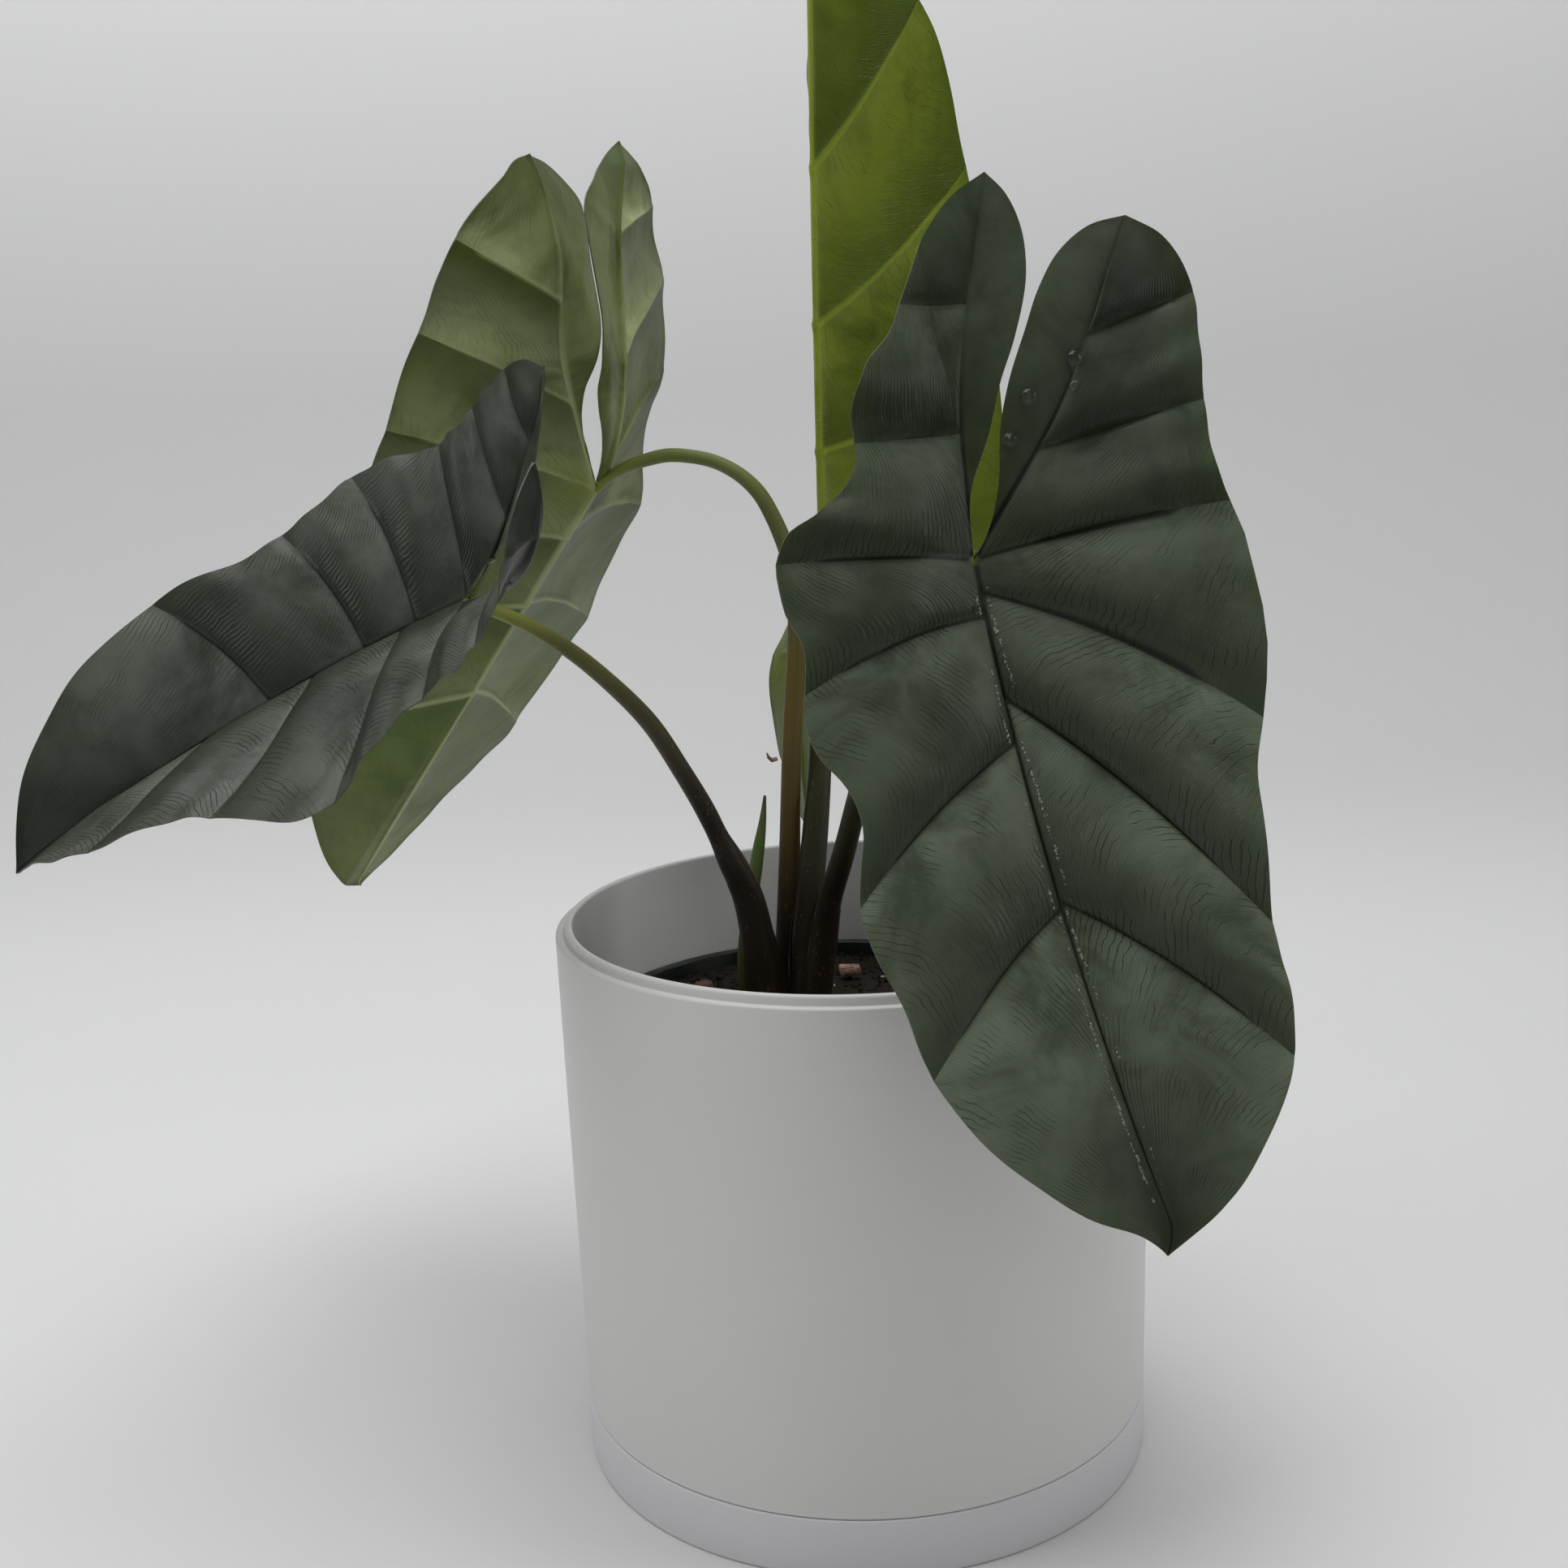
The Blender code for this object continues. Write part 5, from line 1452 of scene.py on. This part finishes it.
class ALOCASIA_OT_crown(Operator):
    """Turn the fibrous crown that the leaf stems grow from"""
    bl_idname = "alocasia.crown"
    bl_label = "Crown"

    def execute(self, context):
        low, high = in_mm(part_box("crown"))
        centre, radius = (low + high) / 2.0, (high[0] - low[0]) / 2.0
        rings, sides = 26, 90
        points, faces = [], []
        for k in range(rings + 1):
            part = k / rings
            z = low[2] + (high[2] - low[2]) * part
            girth = radius * min(1.0, 0.45 + 1.5 * part) * (1.0 - 0.25 * max(0.0, part - 0.86) / 0.14)
            for s in range(sides):
                angle = 2.0 * math.pi * s / sides
                fibre = 1.0 - 0.035 * (1.0 + math.sin(17.0 * angle + 3.0 * math.sin(5.0 * part)))
                points.append((centre[0] + girth * fibre * math.cos(angle),
                               centre[1] + girth * fibre * math.sin(angle), z))
        for k in range(rings):
            for s in range(sides):
                a, b = k * sides + s, k * sides + (s + 1) % sides
                faces.append((a, b, b + sides, a + sides))
        for k, turn in ((0, -1), (rings, 1)):
            points.append((centre[0], centre[1], points[k * sides][2] + (0.4 if turn > 0 else 0.0)))
            for s in range(sides):
                loop = (k * sides + s, k * sides + (s + 1) % sides, len(points) - 1)
                faces.append(loop if turn > 0 else loop[::-1])
        placed(mesh_object("crown_stump", points, faces, [FINISHES["crown"]]), "crown")
        return {'FINISHED'}


class ALOCASIA_OT_stems(Operator):
    """Grow the four leaf stems, the new shoot and the dry husk"""
    bl_idname = "alocasia.stems"
    bl_label = "Stems"

    def execute(self, context):
        look = context.scene.alocasia_stems
        tree = tube_tree()
        for name, joint in (("stem_left", "leaf_left"), ("stem_back", "leaf_back"),
                            ("stem_upright", "leaf_upright"), ("stem_front", "leaf_front")):
            leaf = LEAVES[joint]
            last = np.array(leaf["joint"], float) - blade_axes(leaf)[2] * 1.2
            route = STEMS[name] + [(*last, STEMS[name][-1][3] * 1.05)]
            placed(grown_stem(name + "_skin", route, look, tree, FINISHES[name]), name)
        for name, start, stop, extra, turn in SHEATHS:
            wrap = sheath(name + "_sheath", STEMS[name], start, stop, extra, turn, FINISHES[name])
            placed(wrap, None)
        placed(grown_stem("new_shoot_skin", STEMS["new_shoot"], look, tree, FINISHES["new_shoot"], 20),
               "new_shoot")
        placed(grown_stem("dry_bract_skin", STEMS["dry_bract"], look, tree, FINISHES["husk"], 12),
               "dry_bract")
        return {'FINISHED'}


class ALOCASIA_OT_leaves(Operator):
    """Make the four leaf blades"""
    bl_idname = "alocasia.leaves"
    bl_label = "Leaves"

    def execute(self, context):
        look = context.scene.alocasia_leaves
        for name, (upper, under, edge) in {
                "leaf_left": ("left upper", "grey under", "edge"),
                "leaf_back": ("dark upper", "back under", "green edge"),
                "leaf_upright": ("dark upper", "lime under", "green edge"),
                "leaf_front": ("dark upper", "dark under", "edge")}.items():
            blade = leaf_blade(name + "_blade", LEAVES[name], look,
                               [FINISHES[upper], FINISHES[under], FINISHES[edge]])
            placed(blade, name)
        return {'FINISHED'}


class ALOCASIA_OT_beads(Operator):
    """Set water beads and dried sap on the front leaf"""
    bl_idname = "alocasia.beads"
    bl_label = "Beads"

    def execute(self, context):
        leaf = LEAVES["leaf_front"]
        tree = bead_tree()
        blade = bpy.data.objects["leaf_front_blade"]
        wet = [(*surface_spot(blade, leaf, u, v, 0.25 * r), r) for u, v, r in DROPS]
        placed(beads("water_beads", wet, tree, 4, 0.35, FINISHES["water"]), None)
        draw = np.random.default_rng(3)
        crust = []
        for v in np.arange(7.0, 160.0, 0.30):
            if math.sin(v * 0.47) + 0.7 * math.sin(v * 1.3 + 1.0) < -1.15:
                continue
            middle = leaf["sweep"] * (v / leaf["length"]) ** 2
            u = middle + 1.1 + 0.25 * math.sin(v * 0.9) + draw.normal(0.0, 0.34)
            spot, out = surface_spot(blade, leaf, u, v, 0.05)
            crust.append((spot, out, 0.10 + 0.34 * draw.random() ** 2.5))
        placed(beads("dried_sap", crust, tree, 2, 1.1, FINISHES["sap"]), None)
        return {'FINISHED'}


# The backdrop, in millimetres: where the floor begins, half its width, the radius of its sweep up into
# the wall, and the wall's top
FLOOR_FRONT, FLOOR_HALF, SWEEP, WALL_TOP = -1400.0, 1500.0, 330.0, 1800.0
SKY_SEEN = 0.50          # the world's strength where the camera sees it
CLIP = (0.02, 50.0)      # the nearest and farthest that the camera sees, in metres
CAMERA_PLACE = (0.0, -0.546, 0.3188)
CAMERA_TURN = (-1.98, 11.705, -2.129)     # yaw, pitch down and roll, in degrees
# Area lights: name, place, what it aims at, its two sides and its share of the key power
LIGHTS = [
    ("overhead light", (-0.15, -0.05, 1.45), (0.0, 0.10, 0.0), (1.3, 1.0), 1.0),
    ("left light", (-1.35, -0.35, 0.95), (0.0, 0.0, 0.25), (0.7, 1.0), 0.34),
    ("right light", (1.35, -0.25, 0.75), (0.0, 0.0, 0.25), (0.6, 1.0), 0.26),
    ("front light", (0.0, -1.60, 1.20), (0.0, 0.0, 0.25), (1.2, 0.5), 0.12),
]


class ALOCASIA_OT_stage(Operator):
    """Set the pale floor and backdrop, the soft lights and the camera"""
    bl_idname = "alocasia.stage"
    bl_label = "Stage"

    def execute(self, context):
        look = context.scene.alocasia_stage
        profile = [(FLOOR_FRONT, 0.0)]
        profile += [(SWEEP + SWEEP * math.sin(a), SWEEP - SWEEP * math.cos(a))
                    for a in np.radians(np.linspace(0.0, 90.0, 25))]
        profile.append((2.0 * SWEEP, WALL_TOP))
        points = [(x, y, z) for x in (-FLOOR_HALF, FLOOR_HALF) for y, z in profile]
        rows = len(profile)
        faces = [(k, k + rows, k + rows + 1, k + 1) for k in range(rows - 1)]
        sweep = mesh_object("backdrop", points, faces, [FINISHES["stage"]])

        world = bpy.data.worlds.new("studio")
        world.use_nodes = True
        back = world.node_tree.nodes["Background"]
        back.inputs["Color"].default_value = (0.98, 1.0, 0.97, 1.0)
        seen = add_node(world.node_tree, 'ShaderNodeLightPath').outputs["Is Camera Ray"]
        bright = times_plus(seen, SKY_SEEN - look.fill, look.fill)
        world.node_tree.links.new(bright, back.inputs["Strength"])
        context.scene.world = world
        for name, place, aim, size, power in LIGHTS:
            lamp = bpy.data.lights.new(name, 'AREA')
            lamp.shape, lamp.size, lamp.size_y = 'RECTANGLE', size[0], size[1]
            lamp.energy = look.key * power
            item = new_object(name, lamp)
            item.location = place
            item.visible_camera = False
            item.rotation_euler = (Vector(aim) - Vector(place)).to_track_quat('-Z', 'Y').to_euler()

        lens = bpy.data.cameras.new("front view")
        lens.lens, lens.sensor_width = look.lens, 36.0
        lens.clip_start, lens.clip_end = CLIP
        camera = new_object("front view", lens)
        yaw, pitch, roll = (math.radians(a) for a in CAMERA_TURN)
        ahead = Vector((math.sin(yaw) * math.cos(pitch), math.cos(yaw) * math.cos(pitch), -math.sin(pitch)))
        right = Vector((math.cos(yaw), -math.sin(yaw), 0.0))
        up = right.cross(ahead)
        side = math.cos(roll) * right + math.sin(roll) * up
        top = math.cos(roll) * up - math.sin(roll) * right
        turn = Matrix((side, top, -ahead)).transposed()
        camera.matrix_world = Matrix.Translation(CAMERA_PLACE) @ turn.to_4x4()
        context.scene.camera = camera
        context.scene.view_settings.view_transform = 'Standard'
        return {'FINISHED'}


class ALOCASIA_PT_panel(Panel):
    """The potted alocasia's sizes, colours and parts"""
    bl_idname = "ALOCASIA_PT_panel"
    bl_label = "Potted Alocasia"
    bl_space_type = 'VIEW_3D'
    bl_region_type = 'UI'
    bl_category = "Alocasia"

    def draw(self, context):
        for group in SETTINGS:
            settings = getattr(context.scene, group)
            box = self.layout.box()
            for name in settings.__annotations__:
                box.prop(settings, name)
        for operator in STEPS:
            self.layout.operator(operator.bl_idname)


SETTINGS = {"alocasia_pots": AlocasiaPots, "alocasia_soil": AlocasiaSoil, "alocasia_stems": AlocasiaStems,
            "alocasia_leaves": AlocasiaLeaves, "alocasia_stage": AlocasiaStage}
STEPS = (ALOCASIA_OT_finishes, ALOCASIA_OT_saucer, ALOCASIA_OT_planter, ALOCASIA_OT_nursery_pot,
         ALOCASIA_OT_soil, ALOCASIA_OT_bark, ALOCASIA_OT_crown, ALOCASIA_OT_stems, ALOCASIA_OT_leaves,
         ALOCASIA_OT_beads, ALOCASIA_OT_stage)


def register():
    for kind in (*SETTINGS.values(), *STEPS, ALOCASIA_PT_panel):
        bpy.utils.register_class(kind)
    for name, kind in SETTINGS.items():
        setattr(bpy.types.Scene, name, PointerProperty(type=kind))


def unregister():
    for name in SETTINGS:
        delattr(bpy.types.Scene, name)
    for kind in reversed((*SETTINGS.values(), *STEPS, ALOCASIA_PT_panel)):
        bpy.utils.unregister_class(kind)


def main():
    register()
    for step in STEPS:
        getattr(bpy.ops.alocasia, step.bl_idname.split(".")[1])()


if __name__ == "__main__":
    main()
